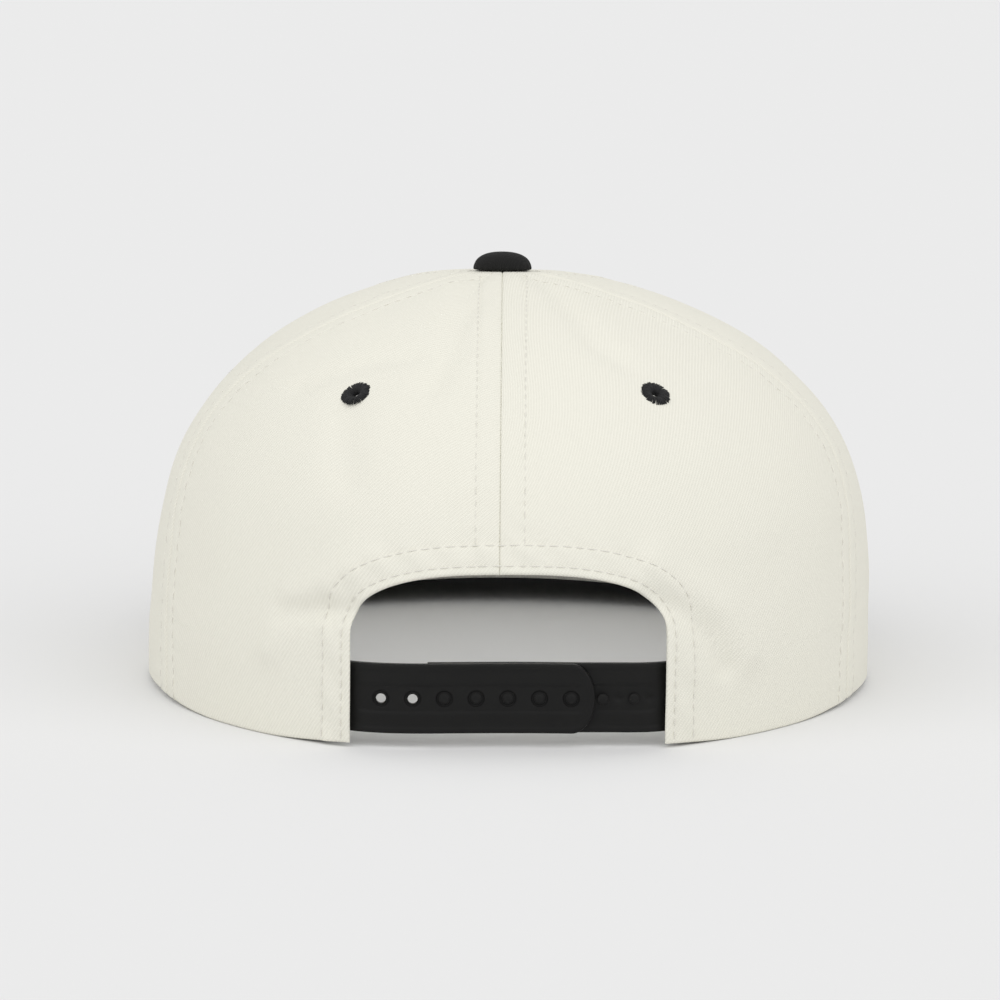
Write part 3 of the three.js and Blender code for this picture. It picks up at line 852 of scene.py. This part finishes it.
def eyelet_nodes():
    """A fan of thread lengths round each marked point, with lengths that differ a little."""
    tree, given, result = nodes_with_inputs(
        "overcast_eyelet",
        [
            ("Threads", "NodeSocketInt"),
            ("Thread radius", "NodeSocketFloat"),
            ("Bore", "NodeSocketFloat"),
            ("Reach", "NodeSocketFloat"),
            ("Seed", "NodeSocketInt"),
            ("Thread", "NodeSocketMaterial"),
        ],
    )
    links = tree.links
    arc = tree.nodes.new("GeometryNodeCurvePrimitiveBezierSegment")
    arc.inputs["Resolution"].default_value = 8
    bore, reach = given.outputs["Bore"], given.outputs["Reach"]
    links.new(node_vector(tree, bore, 0.0, -0.0012), arc.inputs["Start"])
    links.new(node_vector(tree, bore, 0.0, 0.0009), arc.inputs["Start Handle"])
    shoulder = node_math(tree, "MULTIPLY", reach, 0.84)
    links.new(node_vector(tree, shoulder, 0.0, 0.0003), arc.inputs["End Handle"])
    links.new(node_vector(tree, reach, 0.0, -0.00005), arc.inputs["End"])
    ring = tree.nodes.new("GeometryNodeCurvePrimitiveCircle")
    ring.inputs["Resolution"].default_value = 5
    links.new(given.outputs["Thread radius"], ring.inputs["Radius"])
    thread = tree.nodes.new("GeometryNodeCurveToMesh")
    thread.inputs["Fill Caps"].default_value = True
    links.new(arc.outputs[0], thread.inputs["Curve"])
    links.new(ring.outputs[0], thread.inputs["Profile Curve"])
    spots = tree.nodes.new("GeometryNodePoints")
    links.new(given.outputs["Threads"], spots.inputs["Count"])
    index = tree.nodes.new("GeometryNodeInputIndex")
    turn = node_math(tree, "DIVIDE", index.outputs[0], given.outputs["Threads"])
    turn = node_math(tree, "MULTIPLY", turn, 2 * math.pi)
    uneven = []
    for low, high in ((-0.05, 0.05), (0.95, 1.06)):
        random = tree.nodes.new("FunctionNodeRandomValue")
        random.data_type = "FLOAT"
        floats = [s for s in random.inputs if s.type == "VALUE" and s.name in ("Min", "Max")]
        floats[0].default_value, floats[1].default_value = low, high
        links.new(given.outputs["Seed"], random.inputs["Seed"])
        uneven.append([s for s in random.outputs if s.type == "VALUE"][0])
    turn = node_math(tree, "ADD", turn, uneven[0])
    euler = tree.nodes.new("FunctionNodeEulerToRotation")
    links.new(node_vector(tree, 0.0, 0.0, turn), euler.inputs[0])
    fan = tree.nodes.new("GeometryNodeInstanceOnPoints")
    links.new(spots.outputs[0], fan.inputs["Points"])
    links.new(thread.outputs[0], fan.inputs["Instance"])
    links.new(euler.outputs[0], fan.inputs["Rotation"])
    links.new(node_vector(tree, uneven[1], 1.0, 1.0), fan.inputs["Scale"])
    placed = tree.nodes.new("GeometryNodeInstanceOnPoints")
    links.new(given.outputs["Geometry"], placed.inputs["Points"])
    links.new(fan.outputs[0], placed.inputs["Instance"])
    links.new(stand_along(tree, None, outward_attribute(tree)), placed.inputs["Rotation"])
    finished(tree, placed.outputs[0], given.outputs["Thread"], result)
    return tree


black_thread = spun_thread("black_thread", (0.012, 0.012, 0.0125), 0.05)
overcast = eyelet_nodes()
for number, (place, azimuth) in enumerate(eyelet_azimuths.items()):
    for side, sign in (("left", -1), ("right", 1)):
        turn = np.array([sign * azimuth])
        spot = sewn_line(turn, np.array([eyelet_climbs[place]]), 0)
        eyelet = made_by_nodes(
            f"embroidery_{place}_{side}",
            marked_paths("eyelet_place", [spot]),
            overcast,
            {
                "Threads": eyelet_threads,
                "Thread radius": eyelet_thread_radius,
                "Bore": eyelet_bore,
                "Reach": eyelet_reach,
                "Seed": 2 * number + (sign > 0),
                "Thread": black_thread,
            },
        )
        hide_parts(f"eyelet_{place}_{side}")
        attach(eyelet, "root")

# Button: a stamped disc covered with black twill that is gathered under its edge. Its rivet goes
# through the hole where the six panels meet.
button_radius = 0.00725
button_height = 0.0043
button_roundness = 2.35
button_stem_radius = 0.0022
button_sides = 96
gathers = 22
gather_depth = 0.00012

black_twill = twill_cloth(
    "black_twill",
    pale=(0.0145, 0.0145, 0.0138),
    hollow_shade_colour=(0.005, 0.005, 0.005),
    rib_pitch=0.0007,
    rib_slope=58,
    relief=0.5,
    sheen=0.015,
)
rise = np.linspace(0, np.pi / 2, 22)
dome_radius = button_radius * np.cos(rise) ** (2 / button_roundness)
dome_height = button_height * np.sin(rise) ** (2 / button_roundness)
under = np.array([[0, -0.002], [1, -0.002], [1, -0.0001]]) * [button_stem_radius, 1]
lip = np.array([[button_radius - 0.0006, -0.0003], [button_radius - 0.0002, -0.0002]])
profile = np.concatenate([under[1:], lip, np.stack([dome_radius, dome_height], -1)[:-1]])
turn = np.linspace(0, 2 * np.pi, button_sides, endpoint=False)
ring_points = []
for radius, height in profile:
    gather = np.sin(gathers * turn + 1.3 * np.sin(3 * turn)) * gather_depth
    near_hem = np.exp(-((max(height, 0) / 0.0011) ** 2)) * (radius > 0.004)
    reach = radius + gather * near_hem
    ring = np.stack([reach * np.cos(turn), reach * np.sin(turn), np.full(turn.shape, height)], -1)
    ring_points.append(ring)
rings = len(ring_points)
points = np.concatenate([*ring_points, [[0, 0, -0.002], [0, 0, button_height]]])
faces = []
for level in range(rings - 1):
    for step in range(button_sides):
        right = (step + 1) % button_sides
        low, high = level * button_sides, (level + 1) * button_sides
        faces.append((low + step, low + right, high + right, high + step))
last = (rings - 1) * button_sides
for step in range(button_sides):
    right = (step + 1) % button_sides
    faces.append((right, step, rings * button_sides))
    faces.append((last + step, last + right, rings * button_sides + 1))
seat = crown_point(0, 1.0) + [0, 0, layer_gap]
cloth = points[:, :2] * (1 + 0.35 * (points[:, 2:] < button_height * 0.7))
leaned = points @ np.array(Matrix.Rotation(-math.atan(apex_tilt), 3, "X")).T
button = piece_from("covered_button", leaned + seat, faces, black_twill, cloth)
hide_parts("button")
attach(button, "root")

# Peak: a stiff board between two layers of black twill, quilted by rows of stitches that run
# parallel to its outer edge, and sewn under the front of the rim.
peak_length = 0.069
peak_roundness = 2.3
peak_widest_behind_front = 0.008
peak_oval_share = 0.8
peak_root_azimuth = 118
peak_tip_overhang = 0.0015
peak_row_first = 0.0065
peak_row_pitch = 0.0065
peak_row_count = 8
peak_edge_round = 0.0013


def peak_outer_point(across):
    root_x, root_y = plan_point(peak_root_azimuth)
    tip_x, tip_y = root_x + peak_tip_overhang, root_y - peak_tip_overhang
    widest_y = rim_front_reach - peak_widest_behind_front
    turn = lerp(-1, 1, across)
    away = np.abs(turn)
    backward = np.clip((away - peak_oval_share) / (1 - peak_oval_share), 0, 1)
    bearing = (np.pi / 2) * np.clip(turn / peak_oval_share, -1, 1)
    reach = rim_front_reach + peak_length - widest_y
    power = 2 / peak_roundness
    oval_x = peak_half_width * signed_power(np.sin(bearing), power)
    oval_y = widest_y + reach * np.maximum(np.cos(bearing), 0) ** power
    side_x = np.sign(turn) * lerp(peak_half_width, tip_x, backward**2)
    side_y = lerp(widest_y, tip_y, backward)
    on_side = away > peak_oval_share
    return np.stack([np.where(on_side, side_x, oval_x), np.where(on_side, side_y, oval_y)], -1)


def inside_rim(azimuth):
    point = crown_point(azimuth, 0.0) - cloth_wall * crown_normal(azimuth, np.zeros(azimuth.shape))
    return point[..., :2] - [0, crown_axis_y]


outline_shares = np.linspace(0, 1, 1601)
outline = peak_outer_point(outline_shares)
outline_length = np.concatenate(
    [[0], np.cumsum(np.linalg.norm(np.diff(outline, axis=0), axis=-1))]
)
across = np.interp(np.linspace(0, 1, 221) * outline_length[-1], outline_length, outline_shares)
outward = spaced(0.069, [0, 0.001], [0, 0.0002, 0.0005, 0.0009, 0.0014, 0.002], 0.0007)
inner = inside_rim(lerp(360 - peak_root_azimuth, peak_root_azimuth, across))
flat = lerp(inner[None], peak_outer_point(across)[None], outward[:, None, None])
from_edge = distance_to_line(flat, outline[::8])
relief = -0.00022 * sum(
    np.exp(-(((from_edge - peak_row_first - row * peak_row_pitch) / 0.0008) ** 2))
    for row in range(peak_row_count)
)
relief += 0.00018 * (1 - smoothstep(from_edge, 0.002, 0.006))
roll = peak_edge_round * (
    1 - np.sqrt(1 - (1 - np.clip(from_edge / peak_edge_round, 0, 1)) ** 2)
)
arched = peak_underside(flat[..., 0])
top = np.concatenate(
    [flat + [0, crown_axis_y], (arched + peak_thickness + relief - roll)[..., None]], -1
)
underneath = np.concatenate([flat + [0, crown_axis_y], (arched - relief + roll)[..., None]], -1)
points, faces = closed_wall(top, underneath)
peak = piece_from("peak_cover", points, faces[:, ::-1], black_twill, points[:, :2].copy())
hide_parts("peak")
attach(peak, "root")

along = np.gradient(outline, axis=0)
inward = np.stack([-along[:, 1], along[:, 0]], -1) / np.linalg.norm(along, axis=-1)[:, None]
inward *= np.where((inward[:, :1] * outline[:, :1] + inward[:, 1:] * 1e-3) > 0, -1, 1)
peak_rows = []
for row in range(peak_row_count):
    away = peak_row_first + row * peak_row_pitch
    line = outline + inward * away
    ahead = (distance_to_line(line, outline[::8]) > away - 0.0005) & (
        np.abs(line[:, 0] / rim_half_width) ** plan_roundness_front
        + np.abs(line[:, 1] / rim_front_reach) ** plan_roundness_front
        > 1.03
    )
    ahead &= line[:, 1] > 0.03
    line = line[ahead]
    for sign, lift in ((1, peak_thickness - 0.00005), (-1, 0.00005)):
        height = peak_underside(line[:, 0]) + lift
        path = np.stack([line[:, 0], line[:, 1] + crown_axis_y, height], -1)
        way = np.tile([0.0, 0.0, float(sign)], (len(path), 1))
        peak_rows.append((path, way))
peak_stitches = made_by_nodes(
    "peak_stitches",
    marked_paths("peak_rows", peak_rows),
    stitch_nodes,
    {
        "Pitch": stitch_pitch,
        "Stitch share": stitch_share,
        "Thread radius": 0.00022,
        "End dip": 0.0003,
        "Thread": black_thread,
    },
)
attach(peak_stitches, "root")

# Sweatband: a folded band of off-white cotton sewn inside the rim, over the sewn ends of the
# strap. It stops at both sides of the rear opening.
band_height = 0.032
band_thickness = 0.0012
band_cloth_gap = 0.0006
band_end_gap = 0.001
band_ramp_span = 6
band_hang_span = 4
strap_hem = 0.009
strap_thickness = 0.0013
strap_depth = 0.0024


def climb_at(azimuth, height):
    low, high = np.zeros(azimuth.shape), np.ones(azimuth.shape)
    for _ in range(26):
        climb = (low + high) / 2
        below = crown_point(azimuth, climb)[..., 2] < height
        low, high = np.where(below, climb, low), np.where(below, high, climb)
    return low


def azimuth_at_x(x):
    turns = np.linspace(0, 60, 2401)
    return float(np.interp(x, crown_point(turns, 0.0)[:, 0], turns))


band_start = azimuth_at_x(arch_half_width + band_end_gap - seam_shift)
strap_end = azimuth_at_x(arch_half_width + strap_hem + layer_gap - seam_shift)
band_azimuth = np.linspace(band_start, 360 - band_start, 321)[None]
band_rise = spaced(band_height, [0, 0.0003, 0.0008, 0.0016], [0, 0.0003, 0.0008, 0.0016], 0.0013)
band_rise = band_rise[:, None]
away = np.abs((band_azimuth + 180) % 360 - 180)
rim = crown_point(band_azimuth, 0.0) - cloth_wall * crown_normal(
    band_azimuth, np.zeros(band_azimuth.shape)
)
on_peak = smoothstep(away, peak_root_azimuth, peak_root_azimuth + band_hang_span)
low = lerp(rim[..., 2], peak_underside(rim[..., 0]), on_peak) + layer_gap
height = lerp(low, rim_height(band_azimuth) + band_height, band_rise)
azimuths = np.broadcast_to(band_azimuth, height.shape)
climbs = climb_at(azimuths, height)
on_strap = strap_depth + strap_thickness + layer_gap
ramp = smoothstep(away, strap_end + 1, strap_end + 1 + band_ramp_span)
depth = lerp(on_strap, cloth_wall + band_cloth_gap, ramp) + 0 * height
from_end = np.minimum(band_rise, 1 - band_rise) * band_height
band_roll = 0.0005 * (1 - np.sqrt(1 - (1 - np.clip(from_end / 0.0005, 0, 1)) ** 2))
normal = crown_normal(azimuths, climbs)
wave = 0.00025 * np.sin(np.radians(azimuths) * 23 + 2 * np.sin(np.radians(azimuths) * 5))
wave = wave * band_rise - 0.00015 * np.exp(-(((from_end - 0.004) / 0.0006) ** 2))
outer = crown_point(azimuths, climbs) - normal * (depth + band_roll)[..., None]
inner_depth = depth + band_thickness - band_roll + np.abs(wave)
inner = crown_point(azimuths, climbs) - normal * inner_depth[..., None]
outer[0, :, 2] = inner[0, :, 2] = low[0]
points, faces = closed_wall(outer, inner)
around = np.radians(azimuths) * rim_half_width
cloth = np.stack([around, height], -1).reshape(-1, 2)
band_twill = twill_cloth(
    "band_cotton",
    pale=(0.74, 0.722, 0.66),
    hollow_shade_colour=(0.6, 0.585, 0.53),
    rib_pitch=0.0005,
    rib_slope=45,
    relief=0.3,
    sheen=0.05,
)
band = piece_from("sweatband_cloth", points, faces, band_twill, np.concatenate([cloth, cloth]))
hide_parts("sweatband")
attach(band, "root")

# Snap strap, holed half: a ribbon of black moulded plastic, sewn in at the left of the opening,
# with a raised border, a sunk field round its seven holes, and a round tip.
strap_height = 0.0166
strap_centre_height = 0.0118
strap_flattening = 0.007
snap_pitch = 0.00745
snap_count = 7
hole_radius = 0.00118
first_hole_x = -0.0298
first_peg_x = -0.0149
strap_tip_x = 0.0205
strap_tip_length = 0.0055
half_height = strap_height / 2
field_half = 0.003
cell_columns = 12
cell_rows = 10


def strap_point(x, z, depth):
    """A point of the strap: z is measured from its middle line, depth from the cloth's face."""
    height = z + strap_centre_height
    along = x - seam_shift * (1 - (x / rim_half_width) ** 2)
    tuck = wall_tuck * smoothstep(height, tuck_from, tuck_to)
    half_width, reach = rim_half_width - tuck - depth, rim_back_reach - tuck - depth
    round_back = plan_roundness_back
    wall = -reach * (1 - np.abs(along / half_width) ** round_back) ** (1 / round_back)
    in_opening = np.maximum(1 - (x / arch_half_width) ** 2, 0) ** 2
    return np.stack([x, wall + strap_flattening * in_opening + crown_axis_y, height], -1)


def tip_half_height(x):
    past = np.clip((x - (strap_tip_x - strap_tip_length)) / strap_tip_length, 0, 1)
    return half_height * np.sqrt(1 - past**2)


def strap_mesh(start_x, end_columns, centres, bore, rounded):
    """The flat face of a strap, as points and quads, with a round cell about each centre."""
    quads = []

    def add(grid):
        corners = [grid[:-1, :-1], grid[:-1, 1:], grid[1:, 1:], grid[1:, :-1]]
        quads.append(np.stack(corners, -2).reshape(-1, 4, 2))

    rows_up = np.array([3, 3.25, 4, 4.9, 5.9, 6.5, 6.8, 7.1, 7.6, 7.9, 8.1, 8.22, 8.3]) / 1000
    field_rows = np.linspace(-field_half, field_half, cell_rows + 1)
    half_cell = snap_pitch / 2
    for centre in centres:
        top = np.linspace(-half_cell, half_cell, cell_columns + 1)
        square = np.concatenate(
            [
                np.stack([top, np.full(top.shape, -field_half)], -1)[:-1],
                np.stack([np.full(field_rows.shape, half_cell), field_rows], -1)[:-1],
                np.stack([top[::-1], np.full(top.shape, field_half)], -1)[:-1],
                np.stack([np.full(field_rows.shape, -half_cell), field_rows[::-1]], -1),
            ]
        )
        bearing = np.arctan2(square[:, 1], square[:, 0])
        circle = np.stack([np.cos(bearing), np.sin(bearing)], -1)
        radii = bore + np.array([0, 0.05, 0.12, 0.22, 0.4, 0.6, 0.74, 0.82, 0.92, 1.1]) / 1000
        loops = [circle * radius for radius in radii]
        loops += [lerp(circle * radii[-1], square, share) for share in (0.3, 0.6, 0.85, 1)]
        add(np.stack(loops[::-1]) + [centre, 0])
    field_start, field_end = centres[0] - half_cell, centres[-1] + half_cell
    cells = np.linspace(field_start, field_end, cell_columns * len(centres) + 1)
    before = np.linspace(start_x, field_start, 1 + max(int((field_start - start_x) / 0.0007), 1))
    columns = np.concatenate([before, cells[1:], end_columns])
    for rows in (rows_up, -rows_up[::-1]):
        add(np.stack(np.meshgrid(columns, rows), -1))
    for span in (before, np.concatenate([[field_end], end_columns])):
        if len(span) > 1:
            add(np.stack(np.meshgrid(span, field_rows), -1))
    flat = np.concatenate(quads).reshape(-1, 2)
    if rounded:
        reach = tip_half_height(flat[:, 0])
        field = field_half * np.minimum(1, reach / tip_half_height(field_end))
        level = np.abs(flat[:, 1])
        share = (level - field_half) / (half_height - field_half)
        in_field = level <= field_half + 1e-9
        drawn = np.where(in_field, level * field / field_half, lerp(field, reach, share))
        flat[:, 1] = np.sign(flat[:, 1]) * drawn
    flat, owner = np.unique(np.round(flat, 7), axis=0, return_inverse=True)
    faces = []
    for face in owner.reshape(-1, 4):
        kept = list(dict.fromkeys(int(i) for i in face))
        if len(kept) > 2:
            faces.append(kept)
    return flat, faces


def moulded_relief(flat, centres, bore, rounded, field):
    """The moulded face: a raised border with a soft edge, a sunk field and a ring at each snap."""
    x, z = flat[:, 0], flat[:, 1]
    if rounded:
        start = strap_tip_x - strap_tip_length
        ahead = np.maximum(x - start, 0)
        ratio = np.hypot(ahead / strap_tip_length, z / half_height)
        in_tip = (1 - ratio) * np.hypot(ahead, z) / np.maximum(ratio, 1e-6)
        from_edge = np.where(x > start, in_tip, half_height - np.abs(z))
    else:
        from_edge = half_height - np.abs(z)
    from_edge = np.maximum(from_edge, 0)
    relief = 0.00014 * (1 - smoothstep(from_edge, 0.0013, 0.0016))
    relief -= 0.0004 * (1 - np.sqrt(1 - (1 - np.clip(from_edge / 0.0004, 0, 1)) ** 2))
    in_field = 1 - smoothstep(np.abs(z), field_half, field_half + 0.00022)
    in_field *= smoothstep(x, field[0], field[0] + 0.0004)
    in_field *= 1 - smoothstep(x, field[1] - 0.0004, field[1])
    relief -= 0.00015 * in_field
    for centre in centres:
        away = np.hypot(x - centre, z)
        ring = smoothstep(away, bore + 0.0001, bore + 0.00025) * (
            1 - smoothstep(away, bore + 0.00068, bore + 0.00084)
        )
        relief -= 0.0004 * ring
        relief -= 0.0001 * (1 - smoothstep(away, bore, bore + 0.0001))
    return relief


def moulded_strap(name, flat, faces, relief, depth):
    """The flat face bent to the back of the cap, with a wall behind it."""
    face = strap_point(flat[:, 0], flat[:, 1], depth - relief)
    back = strap_point(flat[:, 0], flat[:, 1], depth + strap_thickness)
    count = len(flat)
    edges = {}
    for quad in faces:
        for first, second in zip(quad, quad[1:] + quad[:1]):
            edges[(first, second)] = edges.get((first, second), 0) + 1
    sides = [
        (second, first, first + count, second + count)
        for first, second in edges
        if (second, first) not in edges
    ]
    behind = [[i + count for i in quad[::-1]] for quad in faces]
    points = np.concatenate([face, back])
    return piece_from(name, points, [*faces, *behind, *sides], satin_plastic)


def moulded_plastic(name, colour, edge_colour):
    """Moulded plastic with a fine satin grain."""
    material = bpy.data.materials.new(name)
    material.use_nodes = True
    tree = material.node_tree
    finish = tree.nodes["Principled BSDF"]
    place = tree.nodes.new("ShaderNodeTexCoord")
    grain = tree.nodes.new("ShaderNodeTexNoise")
    grain.inputs["Scale"].default_value = 2600
    grain.inputs["Detail"].default_value = 2
    handling = tree.nodes.new("ShaderNodeTexNoise")
    handling.inputs["Scale"].default_value = 130
    handling.inputs["Detail"].default_value = 5
    for texture in (grain, handling):
        tree.links.new(place.outputs["Object"], texture.inputs["Vector"])
    tree.links.new(
        shader_mix(tree, handling.outputs["Fac"], colour, edge_colour), finish.inputs["Base Color"]
    )
    bump = tree.nodes.new("ShaderNodeBump")
    bump.inputs["Strength"].default_value = 0.18
    bump.inputs["Distance"].default_value = 0.00004
    tree.links.new(grain.outputs["Fac"], bump.inputs["Height"])
    tree.links.new(bump.outputs[0], finish.inputs["Normal"])
    rough = shader_math(tree, "MULTIPLY_ADD", handling.outputs["Fac"], 0.22, 0.34)
    tree.links.new(rough, finish.inputs["Roughness"])
    finish.inputs["Specular IOR Level"].default_value = 0.17
    return material


satin_plastic = moulded_plastic("satin_black", (0.006, 0.006, 0.006), (0.009, 0.009, 0.0085))
hole_centres = first_hole_x + snap_pitch * np.arange(snap_count)
tip_turn = np.radians(np.linspace(41.24, 90, 13)[1:])
tip_columns = strap_tip_x - strap_tip_length * (1 - np.sin(tip_turn))
flat, faces = strap_mesh(-arch_half_width - strap_hem, tip_columns, hole_centres, hole_radius, True)
relief = moulded_relief(flat, hole_centres, hole_radius, True, (-0.0352, 0.0176))
holed_strap = moulded_strap("holed_strap", flat, faces, relief, strap_depth)
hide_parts("snap_strap_outer")
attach(holed_strap, "root")

# Snap strap, pegged half: the same plastic, sewn in at the right. Its pegs are moulded on, with a
# small dimple between each two, and five of them fill holes of the other half.
peg_radius = 0.00128
peg_stem_radius = 0.00095
inner_strap_depth = strap_depth + strap_thickness + layer_gap
inner_start_x = first_peg_x - 0.004


def inner_depth(x):
    past = smoothstep(x, strap_tip_x + strap_thickness, arch_half_width)
    return lerp(inner_strap_depth, strap_depth, past)


peg_centres = first_peg_x + snap_pitch * np.arange(snap_count)
inner_end = arch_half_width + strap_hem
end_columns = np.linspace(peg_centres[-1] + snap_pitch / 2, inner_end, 18)[1:]
flat, faces = strap_mesh(inner_start_x, end_columns, peg_centres, peg_stem_radius, False)
relief = moulded_relief(flat, [], peg_stem_radius, False, (-0.017, 0.0352))
for centre in peg_centres + snap_pitch / 2:
    relief -= 0.0006 * np.exp(-((np.hypot(flat[:, 0] - centre, flat[:, 1]) / 0.0008) ** 2))
pegged_strap = moulded_strap("pegged_strap", flat, faces, relief, inner_depth(flat[:, 0]))
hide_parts("snap_strap_inner")
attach(pegged_strap, "root")


def peg_nodes():
    """Stands a moulded peg with a domed head on each marked point."""
    tree, given, result = nodes_with_inputs(
        "snap_pegs",
        [
            ("Head radius", "NodeSocketFloat"),
            ("Stem radius", "NodeSocketFloat"),
            ("Stem length", "NodeSocketFloat"),
            ("Plastic", "NodeSocketMaterial"),
        ],
    )
    links = tree.links
    head = tree.nodes.new("GeometryNodeMeshUVSphere")
    head.inputs["Segments"].default_value = 24
    head.inputs["Rings"].default_value = 10
    links.new(given.outputs["Head radius"], head.inputs["Radius"])
    flattened = tree.nodes.new("GeometryNodeTransform")
    flattened.inputs["Scale"].default_value = (1, 1, 0.24)
    links.new(head.outputs[0], flattened.inputs["Geometry"])
    stem = tree.nodes.new("GeometryNodeMeshCylinder")
    stem.inputs["Vertices"].default_value = 24
    links.new(given.outputs["Stem radius"], stem.inputs["Radius"])
    links.new(given.outputs["Stem length"], stem.inputs["Depth"])
    sunk = tree.nodes.new("GeometryNodeTransform")
    drop = node_math(tree, "MULTIPLY", given.outputs["Stem length"], -0.5)
    links.new(node_vector(tree, 0.0, 0.0, drop), sunk.inputs["Translation"])
    links.new(stem.outputs[0], sunk.inputs["Geometry"])
    whole = tree.nodes.new("GeometryNodeJoinGeometry")
    links.new(flattened.outputs[0], whole.inputs[0])
    links.new(sunk.outputs[0], whole.inputs[0])
    placed = tree.nodes.new("GeometryNodeInstanceOnPoints")
    links.new(given.outputs["Geometry"], placed.inputs["Points"])
    links.new(whole.outputs[0], placed.inputs["Instance"])
    links.new(stand_along(tree, None, outward_attribute(tree)), placed.inputs["Rotation"])
    finished(tree, placed.outputs[0], given.outputs["Plastic"], result)
    return tree


middle = np.zeros(snap_count)
seat = strap_point(peg_centres, middle, strap_depth)
beside = strap_point(peg_centres + 0.001, middle, strap_depth)
beside -= strap_point(peg_centres - 0.001, middle, strap_depth)
outward = np.stack([beside[:, 1], -beside[:, 0], middle], -1)
outward /= np.linalg.norm(outward, axis=-1)[:, None]
free = np.arange(snap_count) >= 5
heads = seat + outward * np.where(free, -0.0003, -0.00005)[:, None]
pegs = made_by_nodes(
    "snap_pegs",
    marked_paths("peg_places", [(heads, outward)]),
    peg_nodes(),
    {
        "Head radius": peg_radius,
        "Stem radius": peg_stem_radius,
        "Stem length": 0.0026,
        "Plastic": satin_plastic,
    },
)
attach(pegs, "root")

# Studio: a pale matt floor without an edge in view, an even pale surround, and a large soft light
# on each side of the camera. The cloth here lets no light through, so a small cool lamp under the
# crown, which the camera doesn't see, stands for the light that comes through real cloth.
floor_material = bpy.data.materials.new("studio_floor")
floor_material.use_nodes = True
paint = floor_material.node_tree.nodes["Principled BSDF"]
paint.inputs["Base Color"].default_value = (0.8, 0.8, 0.8, 1)
paint.inputs["Roughness"].default_value = 0.95
paint.inputs["Specular IOR Level"].default_value = 0.0
floor_size = 14
corners = [(-floor_size, -floor_size, 0), (floor_size, -floor_size, 0)]
corners += [(floor_size, floor_size, 0), (-floor_size, floor_size, 0)]
floor = piece_from("studio_floor", corners, [(0, 1, 2, 3)], floor_material)

world = bpy.data.worlds.new("studio")
world.use_nodes = True
world.node_tree.nodes["Background"].inputs["Color"].default_value = (1, 1, 1, 1)
world.node_tree.nodes["Background"].inputs["Strength"].default_value = 0.72
bpy.context.scene.world = world
bpy.context.scene.view_settings.view_transform = "Standard"
for side, sign, strength in (("left", -1, 0.74), ("right", 1, 0.76)):
    softbox = bpy.data.lights.new(f"softbox_{side}", "SUN")
    softbox.energy = strength
    softbox.angle = math.radians(70)
    lamp = bpy.data.objects.new(f"softbox_{side}", softbox)
    lamp.rotation_euler = Vector((0.55 * sign, -0.5, 0.67)).to_track_quat("Z", "Y").to_euler()
    bpy.context.collection.objects.link(lamp)
through_cloth = bpy.data.lights.new("light_through_the_cloth", "AREA")
through_cloth.shape = "DISK"
through_cloth.size = 0.09
through_cloth.energy = 0.069
through_cloth.color = (0.83, 0.855, 1)
under_crown = bpy.data.objects.new("light_through_the_cloth", through_cloth)
under_crown.location = (0, crown_axis_y, 0.03)
under_crown.rotation_euler = (math.pi, 0, 0)
under_crown.visible_camera = False
bpy.context.collection.objects.link(under_crown)

# Camera: square on from behind and a little above, as in the photograph.
eye = Vector((0, -1.1 + crown_axis_y, 0.225))
aim = Vector((0, crown_axis_y, 0.044))
camera_data = bpy.data.cameras.new("camera")
camera_data.lens = 158
camera_data.sensor_width = 36
camera_data.shift_x = -0.0092
camera_data.shift_y = 0.001
camera_data.clip_start = 0.05
camera = bpy.data.objects.new("camera", camera_data)
camera.location = eye
camera.rotation_euler = (aim - eye).to_track_quat("-Z", "Y").to_euler()
camera.rotation_euler.rotate_axis("Z", math.radians(0.4))
bpy.context.collection.objects.link(camera)
bpy.context.scene.camera = camera
